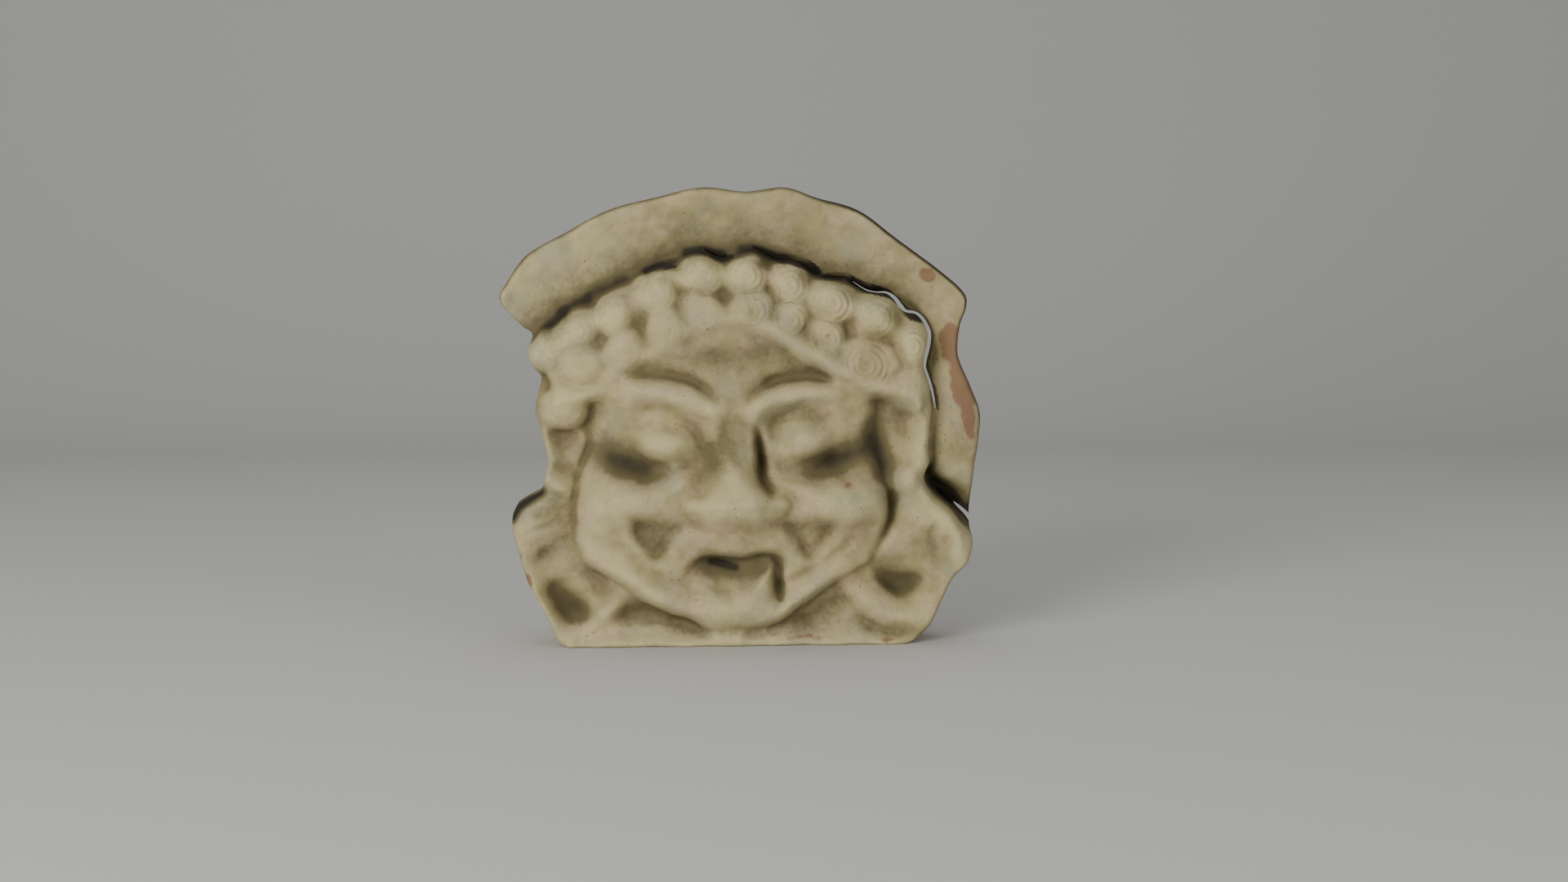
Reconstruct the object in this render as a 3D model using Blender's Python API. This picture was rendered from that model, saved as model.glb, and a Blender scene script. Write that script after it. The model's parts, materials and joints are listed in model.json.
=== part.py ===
"""Terracotta antefix: a gorgon's head under an arched hood, with the root of its cover tile behind.

The front looks along -Y, the tile runs back along +Y and the flat underside lies on z = 0.
The plain face of the hood is near y = 0 and the back of the plate is PLATE_THICKNESS behind it.
The whole thing is one piece of fired clay.
"""

import math

import bmesh
import bpy
import numpy as np

# Driving dimensions, in metres
WIDTH = 0.2217
HEIGHT = 0.2102
PLATE_THICKNESS = 0.0160
RELIEF_DEPTH = 0.0475
RIM_ROUNDING = 0.0030
TILE_OUTER_RADIUS = 0.0720
TILE_WALL = 0.0160
TILE_CENTRE_HEIGHT = 0.0700
TILE_LENGTH = 0.0350
TILE_EMBED = 0.0030
HOLLOW_DEPTH = 0.0240
HOLLOW_LEDGE = 0.0040
FACE_WALL = 0.0120
GROUND_CUT = 0.0050
CRACK_MARGIN = 0.0030
CRACK_REFERENCE = 0.0080

# Fineness of the modelled surface
RINGS = 72
SPOKES = 400
KEPT_SHARE = 0.0745
TILE_STEPS = 40

# The carving is drawn on a mask DRAWN_WIDTH wide and DRAWN_HEIGHT high. Every place below is
# (across, up) in the millimetres of that drawing, from the middle of the underside, and every
# rise is in millimetres of its depth. The finished sizes above scale the drawing.
DRAWN_WIDTH = 221.7
DRAWN_HEIGHT = 210.2
DRAWN_RELIEF = 44.1
PLATE_LEVEL = 16.0
MIDLINE = -3.0
HEART = (0.0, 95.0)

# Edge of the whole piece: worn base, broken right wing, lobed arch, broken end of the hood, left hair and ear
OUTLINE = [
    (-76, -4), (-65, -4), (0, -4), (62, -4), (74, -4), (81.8, 2.3), (87.6, 8), (93.2, 19.4), (98.9, 30.8),
    (106.2, 39.2), (109.6, 55.2), (109.8, 73.7), (112.7, 98.6), (112.3, 108.1), (107.6, 119.6),
    (102.1, 132.9), (103.2, 146.2), (106.2, 155.7), (104.7, 162.2), (93.9, 172), (74.8, 186), (55.7, 199.8), (36.8, 205.4),
    (21.6, 210.2), (3.5, 208.2), (-16, 210.1), (-38.5, 205.2), (-59.1, 199.6), (-79.7, 188.7), (-90.9, 182.7),
    (-98.4, 177.1), (-105.2, 167), (-109, 159.2), (-104.2, 152.1), (-98.7, 146.5), (-94.2, 142.7),
    (-95.4, 135.4), (-92.9, 128), (-89.6, 123.5), (-91.9, 113.1), (-92.3, 107.5), (-89.5, 98), (-87, 86.5),
    (-89, 75.3), (-90.4, 71.2), (-96.6, 67.6), (-101.6, 64), (-103.4, 57.1), (-100.1, 42.1), (-96.1, 30),
    (-86.2, 10.2), (-83.2, 3.3),
]

# Levels of the broad surfaces, forward of the back plane
HOOD_SWELL = 5.0
HOOD_SWELL_WIDTH = 26.0
EAR_GROUND = 31.0
LOW_GROUND = 28.5
LOW_FROM = 76.0
LOW_OVER = 14.0
FACE_SIDE = 33.0
FACE_SWELL = 13.0
FACE_OVAL = (MIDLINE, 86, 80, 88)
HAIR_GROUND = 31.0
HAIR_SWELL = 7.5
HAIR_SWELL_WIDTH = 10.0
BASE_BAND = (9.5, 6.5)
STEEP = 3.0
JAW_POWER = 2.2
HAIR_LAP = (4.0, 7.0)

# Widths of the fillets where two forms cross
EYE_FILLET = 3.0
NOSE_FILLET = 5.0
NOSTRIL_FILLET = 3.5
CHIN_FILLET = 5.0
DISC_FILLET = 3.0
BAND_FILLET = 4.0
CURL_FILLET = 2.6

# Foot of the wall between the hood and the head that stands out from it:
# (across, up, width of the wall, depth of the groove along its foot)
HEAD_EDGE = [
    (-120, 130, 6, 0), (-98.6, 138.7, 6, 0), (-90.3, 146.9, 6, 1), (-85.1, 148.8, 6, 1), (-80.6, 154.4, 6, 1),
    (-76.1, 158.1, 6, 0.5), (-68.6, 160.8, 6, 0.5), (-57.4, 167.1, 5.5, 0.3), (-46.9, 172.3, 5.5, 1),
    (-35.6, 176.8, 5.5, 3), (-29.2, 179.5, 5.5, 1.5), (-22, 182.8, 5.5, 1), (-14.6, 182.3, 5, 3),
    (-8, 180.4, 5, 1.5), (-1, 181, 5, 0.5), (8.5, 182.9, 5, 3), (16, 178.6, 4.5, 7), (19.8, 177.4, 4.5, 4),
    (26.3, 177.8, 4.5, 8), (35, 173.2, 4.5, 9), (39.5, 170.9, 4.5, 4), (44.5, 170.5, 4.5, 8),
    (54, 167.9, 4.5, 9), (59.7, 164.9, 4.5, 9), (71.1, 162.4, 4.5, 8), (76.9, 157.3, 4.5, 7),
    (84.9, 152.4, 4, 6), (88.8, 148.2, 3.5, 4), (90.2, 142.9, 3, 3), (89.6, 134.6, 3, 2.5),
    (88.4, 128.5, 3, 2.5), (89.4, 123.9, 3, 2.5), (91.2, 118.2, 3, 2.5), (92.8, 110, 3, 2.5),
    (92.4, 104.5, 3, 2.5), (90.5, 97.2, 3, 2), (88.9, 90, 3, 3), (89.3, 84, 3, 6), (88.5, 77.5, 3.5, 5),
    (91.5, 70.5, 4, 0), (96, 66.5, 4, 0), (101, 62, 4, 0), (106, 57.5, 4, 0), (112, 51, 4, 0),
    (119, 43, 4, 0),
]
WALL_FROM = 0.8
GROOVE_AT = 1.6
GROOVE_WIDTH = 2.0
# Notch under the right wing: path, half widths, depths
NOTCH = (
    [(87, 79), (92, 72.5), (96.5, 69), (101, 65.5), (106, 62), (112, 57.5)],
    [2, 3, 4, 4.6, 5.2, 5.6],
    [4, 9, 11, 10.5, 8.5, 7],
)
# Jaw line: (across, up, width of the rounded edge inside it)
JAW = [
    (-66.5, 112, 18), (-67.9, 102.1, 18), (-69.5, 87.2, 18), (-71.8, 79.8, 17), (-74.8, 68.6, 15),
    (-76, 57.5, 12), (-75.3, 50, 9), (-71.3, 42.5, 7.5), (-66.1, 35, 6.5), (-59.8, 30.4, 6), (-46.8, 23.5, 6),
    (-32, 16.6, 6), (-17, 10, 6), (-2, 8.4, 6), (6.2, 8.6, 6), (14.9, 10.1, 6), (20.5, 13.2, 6),
    (26.1, 17.8, 6), (31.8, 21, 6), (46.8, 30.9, 6.5), (58.1, 37.6, 7), (66.8, 48.8, 7), (69.8, 56.4, 8),
    (70.7, 64, 9), (69.3, 72, 10), (66.7, 81.5, 11), (65.3, 92, 12), (64, 111, 12),
]
HAIRLINE = [
    (-84, 107), (-76, 111.5), (-67.7, 113.5), (-60, 116.5), (-51.9, 123.8), (-42.7, 129.7), (-28, 137.7),
    (-16.9, 143.6), (-2.2, 146.5), (14.4, 141.7), (25.5, 134.3), (38.4, 128.7), (47.7, 122.4), (57.1, 117),
    (66.4, 114), (76, 113), (84, 106),
]

# Rolls are (path, half widths, rises) and mounds are (across, up, half width, half height, turn, rise),
# grooves and hollows where the rise is negative. Paired ones are at distances out from the midline.
FOREHEAD_MOUNDS = [(-4, 131, 38, 13, 0, 1.0), (-4, 135, 17, 3.4, 2, -1.6)]
BROW_HOLLOW = (33, 130, 22, 7, 4, -2.2)
BROW_ROLLS = [
    (
        [(3, 108), (12, 111), (22, 113.5), (34, 116), (47, 117.2), (58, 116.5)],
        [5, 5.5, 5.6, 5.6, 5.6, 6],
        [1.6, 4.2, 4.8, 4.4, 3.4, 1.4],
    ),
    ([(11, 110), (9.3, 104), (9.6, 98), (12, 92)], [4.6, 4, 3.6, 3.4], [1.8, 2.6, 2.2, 0.4]),
    (
        [(6.5, 116.8), (13, 121.2), (20.3, 124), (27.6, 124.6), (36, 123.5), (48, 124)],
        [2.4, 2.8, 3.2, 3.6, 4.2, 4.0],
        [-1.6, -5.0, -6.6, -7.0, -6.4, -2.4],
    ),
]
EYE_SOCKET = (32, 94, 26, 17, 0, -4.6)
SOCKET_RIM = (
    [(45, 103), (37, 106.5), (27, 106), (19, 102), (16.5, 95)],
    [3.6] * 5,
    [-0.5, -2.0, -2.8, -2.6, -1.4],
)
EYEBALL = (30.6, 94, 16.5, 9.8, 3, 36.5, 8.6, 0.9)
UNDER_EYE = (
    [(55, 92.5), (48.5, 85.6), (38.5, 80.5), (26, 81.4), (13, 88.5)],
    [6.5, 7.6, 7.0, 5.4, 4],
    [-3.5, -8.6, -7.4, -5.0, -2.4],
)
TEMPLE = (58, 95, 9, 16, 8, -3.0)

# Nose: (up, half width, crest level, power of the flanks), about its own middle
NOSE_MIDDLE = -1.3
NOSE_STEPS = [
    (49, 21, 33, 3), (55, 21, 44, 3), (58.5, 22, 53, 3), (62, 22.5, 58.5, 3), (67, 22, 60.5, 2.8),
    (75, 18.5, 55, 2.2), (85, 15.5, 49.5, 2), (97, 13, 46.5, 1.8), (108, 13, 45.5, 1.8), (118, 16, 42, 1.8),
]
NOSE_FLANK = 15.0
NOSTRIL = (18, 66.8, 6.6, 5.6, 0, 43, 8, 0.8)
NOSE_ROLLS = [
    (
        [(6.6, 103), (7.2, 99), (8.2, 94), (9.6, 87.5), (10.8, 80.3), (13.2, 73.4), (16, 70)],
        [1.5, 1.7, 1.9, 2.0, 2.2, 2.4, 2],
        [-1.0, -6.0, -10.5, -11, -10, -7, -1],
    ),
    ([(-12.5, 97), (-15, 89), (-18.5, 81), (-23, 73)], [4.5, 5.5, 5.5, 4], [-1.0, -2.6, -2.6, -0.8]),
]

CHEEK_MOUNDS = [(52, 65.5, 16, 10.5, -6, 5.0), (0, 52, 24, 7, 0, 4.0)]
MOUTH_ROLLS = [
    ([(20, 78), (26, 75), (38, 70.5), (54, 65)], [5, 6, 6.8, 7], [0.8, 3.4, 4, 1.6]),
    ([(17, 58.5), (27, 62), (36, 63), (48, 60.5)], [3.6, 3.6, 3.6, 3.6], [0.6, 1.8, 2.0, 0.8]),
    ([(52, 55), (45, 45.5), (37, 38.5), (27, 33.5)], [5, 5.5, 5.5, 4.5], [0.6, 1.6, 1.6, 0.8]),
    (
        [
            (69, 62), (68.4, 53), (64.6, 44), (57, 37), (47.4, 31.8), (35, 25.2), (21.5, 17.6), (10, 13.6),
            (0, 12.8),
        ],
        [5.0] * 9,
        [1.0, 2.4, 3.2, 3.4, 3.4, 3.2, 2.4, 1.0, 0.8],
    ),
    (
        [(56, 56), (49.2, 46.3), (40.8, 38.2), (32.5, 32.6), (24, 28), (17.2, 24)],
        [3.4, 3, 2.8, 2.8, 3, 3],
        [-0.8, -2.2, -3.0, -3.4, -3.2, -1.0],
    ),
]
# Hollows with a flat floor: closed outline, width of the sloping side, depth
CHEEK_POCKET = ([(21, 57.5), (32, 60), (44, 59), (46.5, 53), (40, 46), (34.8, 39.5), (27, 48.5)], 10, 6.5)
MOUTH_OPENING = (
    [
        (-21.6, 36.3), (-17.1, 41), (-9.7, 44.6), (-2.2, 45.8), (8.9, 45), (16.4, 43.2), (20.5, 38),
        (20.5, 27), (12, 22), (0, 21), (-12, 22), (-20, 28),
    ],
    13,
    10.5,
)
MOUTH_CREASES = [
    ([(-17, 38.5), (-9, 39.5), (0, 40), (9, 40.2), (16, 39.5)], [3.4] * 5, [-1.5, -3.6, -5.5, -3.2, -3.0]),
    ([(17, 40), (18, 34), (18.8, 27), (19, 20)], [3.4, 3.0, 2.8, 2.2], [-3, -7, -8, -0.8]),
    ([(-22, 36.5), (-24, 30), (-22.5, 23)], [3.6] * 3, [-1.2, -2.2, -0.6]),
]
CHIN = (1, 18.5, 20, 10, 0, 35, 8.2, 1.0)

# Ears: discs are (across, up, half width, half height, turn, foot, rise, power)
EAR_DISCS = [
    (-80, 112.4, 11.5, 12, 0, 32, 6, 1.0), (78.6, 118, 10.5, 10, 0, 32, 7.5, 1.0),
    (-80, 74.5, 9.5, 7.5, -20, 30, 6.5, 1.0), (74.5, 76, 10, 8.5, 0, 30, 8, 1.0),
]
EAR_ROLLS = [
    ([(-88.5, 103), (-88.5, 95), (-87, 87), (-85.5, 79)], [4.6] * 4, [2, 4, 4.5, 3]),
    (
        [(84.5, 121), (86.5, 112), (85, 103), (83.5, 93), (81.5, 83), (77, 76)],
        [5.0] * 6,
        [3.5, 6, 6.5, 6, 5, 3],
    ),
]
EAR_HOLLOWS = [(-79, 95, 8, 10, 25, -4.2), (75, 101.5, 7, 12, 8, -4.2), (-79, 85, 8, 6, 0, -2)]
FACE_CREASES = [
    (
        [
            (60, 108), (64, 100), (66, 91), (67.6, 82), (70, 72.5), (70.6, 65), (69.2, 57), (66, 49.5),
            (61.5, 43),
        ],
        [8, 8, 7, 5.5, 4, 2.6, 2.4, 2.2, 2],
        [-2, -6, -8.5, -8, -7, -10, -9, -4, -1],
    ),
    (
        [(-60, 112), (-65, 107), (-67.8, 101), (-69, 93), (-71, 83), (-74.5, 71), (-76.3, 60), (-75.2, 51)],
        [5, 5, 4, 2.2, 1.8, 1.8, 1.8, 1.8],
        [-1, -3, -3, -2.6, -2.6, -2.8, -2.4, -0.8],
    ),
]

# Snakes beside the jaw, the swellings round them and the hollows inside their loops
SNAKE_ROLLS = [
    ([(-47, 26), (-54.5, 20.5), (-62, 14), (-71, 8)], [5, 5.5, 6, 6], [2.5, 4.5, 5, 3]),
    ([(-78, 4), (-88, 11), (-94, 24), (-98, 38), (-99, 50)], [8, 8, 7.5, 7.5, 8], [3, 6, 6, 5.5, 4]),
    ([(48, 30), (54, 24), (63, 18), (73, 14), (84, 15)], [5, 5.5, 5.5, 6, 7], [2, 4.5, 5, 5.5, 4]),
    ([(86, 8), (96, 18), (101.5, 32), (103, 45), (98, 57)], [8] * 5, [3, 6, 7, 7, 5]),
]
SNAKE_MOUNDS = [
    (-92, 57, 13, 11, 0, 3.5), (90, 60, 13, 10, -30, 5), (74, 52, 13, 16, 0, 5.5),
    (-64, 28.5, 9, 5.5, -35, -4.5), (75.5, 21.5, 10, 6.5, 12, -9),
]
SNAKE_HOLLOWS = [
    (
        [(-88, 31), (-84.4, 26.5), (-80, 20.5), (-74.5, 16), (-67, 13)],
        [4.4, 5.2, 5.4, 4.8, 4],
        [-1.2, -6, -12, -11, -2],
    ),
    (
        [(-57.5, 10.5), (-48.7, 15.6), (-39.3, 14.5), (-25, 10), (-13.7, 6.7)],
        [3.4, 5.0, 4.6, 3.4, 2.2],
        [-2, -7.5, -7.5, -7, -1],
    ),
    (
        [(64.5, 42), (65.5, 34), (69.5, 26), (78, 24), (83, 27), (87, 33)],
        [4.4, 4.4, 4.6, 4.6, 4.4, 4],
        [-1.5, -4, -3, -3, -4, -1.5],
    ),
    ([(24, 8.5), (31, 11.3), (40, 14.8), (49.5, 20)], [2.6, 4.2, 4.6, 3], [-1.5, -6, -7.5, -3]),
    ([(53, 13), (61, 8.8), (69, 7), (79, 8)], [2.6, 3, 3, 2.6], [-1.5, -4.5, -4.5, -1]),
    ([(-96, 35), (-89, 41.5), (-81, 49)], [4] * 3, [-1, -3, -1.2]),
]

# Hair: a low roll along the forehead and snail-shell curls, (across, up, radius), in two rows
FRINGE = (3.0, 4.0, 6.0)
FRINGE_ROLL = (
    [(-12, 148), (-1, 149.3), (12.3, 146), (24, 140), (36, 133.5), (49, 124.5), (60, 119.5), (72, 116)],
    [3.4] * 8,
    [0.5, 1.4, 2.0, 2.2, 2.2, 2.4, 1.8, 0.5],
)
OUTER_CURLS = [
    (-85.9, 135.2, 8.2), (-73.4, 145.4, 9.2), (-56.5, 152, 9.4), (-37, 162.3, 10), (-16, 170.7, 9.6),
    (3.5, 170, 9), (23.1, 165.6, 9.2), (42.4, 157.5, 10.4), (61.8, 150.8, 9.8), (77.9, 138.2, 7.4),
]
INNER_CURLS = [
    (-70.2, 128.6, 8.6), (-51.8, 135.2, 9.2), (-32.4, 144.3, 9.8), (-16.2, 152.4, 9), (4.9, 154.6, 8.8),
    (23.3, 149.8, 8.2), (39.3, 141.6, 7.4), (57.9, 129.4, 12.4),
]
CURL_VALLEYS = [
    (-60.3, 140.9), (-43.3, 148.3), (-22.2, 163), (-6.3, 161.9), (11.1, 164.1), (22.3, 157.5), (51, 145.6),
    (68.3, 137),
]
VALLEY_RADIUS = 5.5
VALLEY_DEPTH = 2.4
OUTER_CURL_TOP = 42.5
INNER_CURL_TOP = 44.5
CURL_RISE = 7.5
CURL_POWER = 0.8

# See-through cracks, (path, widths): between the hair and the hood, and open to the rim under the wing
CRACKS = [
    (
        [
            (53, 167.6), (60.3, 163), (70.2, 161), (77.9, 154.2), (82.9, 152.4), (88.8, 147), (89.9, 143),
            (89.6, 138.1), (87.9, 129.5), (88.9, 123.6), (92.2, 112.4), (93, 107.8),
        ],
        [0.3, 1.5, 1.5, 1.4, 1.5, 1.7, 1.7, 1.6, 1.5, 1.5, 1.2, 0.3],
    ),
    ([(98.5, 66.3), (106, 60.2), (115, 50.6)], [0.3, 1.6, 2.8]),
]
CRACK_LEAN = (0.13, -0.03)


def clear_scene():
    for scene_object in list(bpy.data.objects):
        bpy.data.objects.remove(scene_object, do_unlink=True)


def smooth_step(value):
    """0 below 0, 1 above 1, with a soft start and end between."""
    value = np.clip(value, 0, 1)
    return value * value * (3 - 2 * value)


def soft_max(first, second, width):
    """The larger of two surfaces, with a fillet about width wide where they cross."""
    share = np.clip(0.5 + 0.5 * (first - second) / width, 0, 1)
    return second * (1 - share) + first * share + width * share * (1 - share)


def oval(x, z, across, up, half_width, half_height, turn=0.0):
    """Distance from the centre of a turned ellipse, 1 on its edge."""
    cosine = math.cos(math.radians(turn))
    sine = math.sin(math.radians(turn))
    along = (x - across) * cosine + (z - up) * sine
    beside = (z - up) * cosine - (x - across) * sine
    return np.sqrt((along / half_width) ** 2 + (beside / half_height) ** 2)


def mound(x, z, across, up, half_width, half_height, turn, rise):
    """A soft swelling, or a hollow where rise is negative."""
    reach = oval(x, z, across, up, half_width, half_height, turn)
    return rise * np.exp(-reach ** 2.4)


def boss(x, z, across, up, half_width, half_height, turn, foot, rise, power=0.5):
    """A rounded boss that stands rise high on its foot and falls away steeply outside it."""
    reach = oval(x, z, across, up, half_width, half_height, turn)
    beyond = np.maximum(reach - 1, 0) * min(half_width, half_height)
    return foot + rise * (1 - np.clip(reach, 0, 1) ** 2) ** power - STEEP * beyond


def smooth_path(points, steps=4):
    """Catmull-Rom curve through the points."""
    ends = np.array([points[0], *points, points[-1]], float)
    shares = np.linspace(0, 1, steps, endpoint=False)[:, None]
    curve = []
    for start in range(len(points) - 1):
        before, first, second, after = ends[start:start + 4]
        straight = (second - before) * shares
        bend = (2 * before - 5 * first + 4 * second - after) * shares ** 2
        twist = (3 * first - before - 3 * second + after) * shares ** 3
        curve.append(first + 0.5 * (straight + bend + twist))
    curve.append(ends[-1:])
    return np.vstack(curve)


def distance_to(x, z, points):
    """Distance to the smooth path, and the share of its points passed at the nearest place."""
    curve = smooth_path(points)
    nearest = np.full(x.shape, np.inf)
    share = np.zeros(x.shape)
    count = len(curve) - 1
    for index in range(count):
        step = curve[index + 1] - curve[index]
        from_x = x - curve[index, 0]
        from_z = z - curve[index, 1]
        part = np.clip((from_x * step[0] + from_z * step[1]) / (step @ step), 0, 1)
        gap = np.hypot(from_x - part * step[0], from_z - part * step[1])
        closer = gap < nearest
        nearest = np.where(closer, gap, nearest)
        share = np.where(closer, (index + part) / count, share)
    return nearest, share


def roll(x, z, points, half_widths, rises):
    """A rounded bar along the path with the half width and rise given at each of its points."""
    gap, share = distance_to(x, z, points)
    along = np.linspace(0, 1, len(points))
    half_width = np.interp(share, along, half_widths)
    return np.interp(share, along, rises) * np.exp(-(gap / half_width) ** 2)


def inside(x, z, polygon):
    """True for the places inside a closed polygon."""
    found = np.zeros(x.shape, bool)
    for start, end in zip(polygon, np.roll(polygon, -1, axis=0)):
        crosses = (start[1] > z) != (end[1] > z)
        rise = np.where(crosses, end[1] - start[1], 1.0)
        found ^= crosses & (x < start[0] + (end[0] - start[0]) * (z - start[1]) / rise)
    return found


def side_of(x, z, points, closing):
    """Distance to the path, positive on the side that the closing corners enclose."""
    gap, share = distance_to(x, z, points)
    area = np.vstack([smooth_path(points), closing])
    return np.where(inside(x, z, area), gap, -gap), share


def dent(x, z, corners, edge, depth):
    """A flat-floored hollow inside the closed outline, with a sloping side of the edge's width."""
    ring = corners + corners[:1]
    gap, _ = distance_to(x, z, ring)
    signed = np.where(inside(x, z, smooth_path(ring)), gap, -gap)
    return -depth * smooth_step(signed / edge + 0.5)


def hood_surface(x, z):
    """Plain band that swells to the rim, the distance inside the head, the wall's share and the groove."""
    edge = np.array(HEAD_EDGE)
    from_edge, along_edge = side_of(x, z, edge[:, :2], [(200, -60), (-200, -60)])
    along = np.linspace(0, 1, len(edge))
    hood = PLATE_LEVEL + HOOD_SWELL * smooth_step(-from_edge / HOOD_SWELL_WIDTH)
    wall = smooth_step((from_edge - WALL_FROM) / np.interp(along_edge, along, edge[:, 2]))
    depth = np.interp(along_edge, along, edge[:, 3])
    groove = depth * np.exp(-((from_edge - GROOVE_AT) / GROOVE_WIDTH) ** 2)
    return hood, from_edge, wall, groove


def face_surface(x, z):
    """Swelling oval face with a rounded edge along the jaw, over the ground behind it."""
    jaw = np.array(JAW)
    from_jaw, along_jaw = side_of(x, z, jaw[:, :2], [(90, 150), (60, 220), (-60, 220), (-90, 150)])
    low = smooth_step((LOW_FROM - z) / LOW_OVER)
    ground = EAR_GROUND * (1 - low) + LOW_GROUND * low
    edge_width = np.interp(along_jaw, np.linspace(0, 1, len(jaw)), jaw[:, 2])
    edge = np.clip(from_jaw / edge_width, 0, 1)
    swell = FACE_SIDE + FACE_SWELL * np.clip(1 - oval(x, z, *FACE_OVAL) ** 2, 0, 1) ** 0.8
    level = ground + (swell - ground) * np.sqrt(1 - (1 - edge) ** JAW_POWER)
    return level, low, 1 - smooth_step((from_jaw + 1) / 3)


def add_rolls(x, z, rolls, level, share=1.0):
    for points, half_widths, rises in rolls:
        level = level + share * roll(x, z, points, half_widths, rises)
    return level


def add_mounds(x, z, mounds, level, share=1.0):
    for across, up, half_width, half_height, turn, rise in mounds:
        level = level + share * mound(x, z, across, up, half_width, half_height, turn, rise)
    return level


def add_eyes(x, z, out, level):
    """Forehead, brows, sockets, eyeballs and the hollows under them; out is the distance from the midline."""
    level = add_mounds(x, z, FOREHEAD_MOUNDS, level)
    level = add_mounds(out, z, [BROW_HOLLOW, EYE_SOCKET], level)
    level = add_rolls(out, z, BROW_ROLLS + [SOCKET_RIM], level)
    level = soft_max(level, boss(out, z, *EYEBALL), EYE_FILLET)
    level = add_rolls(out, z, [UNDER_EYE], level)
    return add_mounds(out, z, [TEMPLE], level)


def add_nose(x, z, level):
    """Crest falling away to the flanks, nostrils, and the creases beside the nose."""
    out = np.abs(x - NOSE_MIDDLE)
    up, half_width, crest, power = np.array(NOSE_STEPS, float).T
    flank = NOSE_FLANK * (out / np.interp(z, up, half_width)) ** np.interp(z, up, power)
    level = soft_max(level, np.interp(z, up, crest) - flank, NOSE_FILLET)
    level = soft_max(level, boss(out, z, *NOSTRIL), NOSTRIL_FILLET)
    return add_rolls(x, z, NOSE_ROLLS, level)


def add_mouth(x, z, out, level):
    """Cheeks, lips, the roll along the jaw, the pockets beside the mouth, the chin and the open mouth."""
    level = add_mounds(out, z, CHEEK_MOUNDS, level)
    level = add_rolls(out, z, MOUTH_ROLLS, level) + dent(out, z, *CHEEK_POCKET)
    level = soft_max(level, boss(out, z, *CHIN), CHIN_FILLET)
    level = level + dent(x, z, *MOUTH_OPENING)
    return add_rolls(x, z, MOUTH_CREASES, level)


def add_ears(x, z, outside, level):
    for disc in EAR_DISCS:
        level = np.where(outside > 0.5, soft_max(level, boss(x, z, *disc), DISC_FILLET), level)
    level = add_rolls(x, z, EAR_ROLLS, level, outside)
    level = add_mounds(x, z, EAR_HOLLOWS, level, outside)
    return add_rolls(x, z, FACE_CREASES, level)


def add_snakes(x, z, low, outside, level):
    """Snakes, the band along the base and the deep hollows between them."""
    level = add_rolls(x, z, SNAKE_ROLLS, level, outside)
    level = add_mounds(x, z, SNAKE_MOUNDS, level, outside)
    height, rise = BASE_BAND
    band = LOW_GROUND + rise * smooth_step((height - z) / height) - STEEP * np.maximum(z - height, 0)
    share = outside * low
    level = level * (1 - share) + soft_max(level, band, BAND_FILLET) * share
    return add_rolls(x, z, SNAKE_HOLLOWS, level, outside)


def add_hair(x, z, from_edge, level):
    """Rising ground of the hair, the roll along the forehead and the curls."""
    from_hairline, _ = side_of(x, z, HAIRLINE, [(100, 220), (-100, 220)])
    rise, place, width = FRINGE
    fringe = rise * np.exp(-((from_hairline - place) / width) ** 2)
    hair = HAIR_GROUND + HAIR_SWELL * smooth_step(from_edge / HAIR_SWELL_WIDTH) + fringe
    lap, width = HAIR_LAP
    share = smooth_step((from_hairline + lap) / width)
    level = level * (1 - share) + hair * share
    level = add_rolls(x, z, [FRINGE_ROLL], level)
    for across, up in CURL_VALLEYS:
        level = level + mound(x, z, across, up, VALLEY_RADIUS, VALLEY_RADIUS, 0, -VALLEY_DEPTH)
    for curls, top in ((OUTER_CURLS, OUTER_CURL_TOP), (INNER_CURLS, INNER_CURL_TOP)):
        for across, up, radius in curls:
            curl = boss(x, z, across, up, radius, radius, 0, top - CURL_RISE, CURL_RISE, CURL_POWER)
            level = soft_max(level, curl, CURL_FILLET)
    return level


def relief_level(x, z):
    """Distance of the carved front from the back plane, in the millimetres of the drawing."""
    out = np.abs(x - MIDLINE)
    hood, from_edge, wall, groove = hood_surface(x, z)
    level, low, outside = face_surface(x, z)
    level = add_eyes(x, z, out, level)
    level = add_nose(x, z, level)
    level = add_mouth(x, z, out, level)
    level = add_ears(x, z, outside, level)
    level = add_snakes(x, z, low, outside, level)
    level = add_hair(x, z, from_edge, level)
    level = hood * (1 - wall) + np.maximum(level, hood) * wall
    level = level - groove * (1 - smooth_step((level - 20) / 6))
    return level - roll(x, z, *NOTCH) * smooth_step((30 - level) / 8)


def outline_points():
    """Points at equal steps round the smooth outline."""
    curve = smooth_path(OUTLINE + OUTLINE[:1], 8)
    lengths = np.r_[0, np.cumsum(np.hypot(*np.diff(curve, axis=0).T))]
    wanted = np.linspace(0, lengths[-1], SPOKES, endpoint=False)
    return np.stack([np.interp(wanted, lengths, curve[:, axis]) for axis in range(2)], axis=1)


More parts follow.
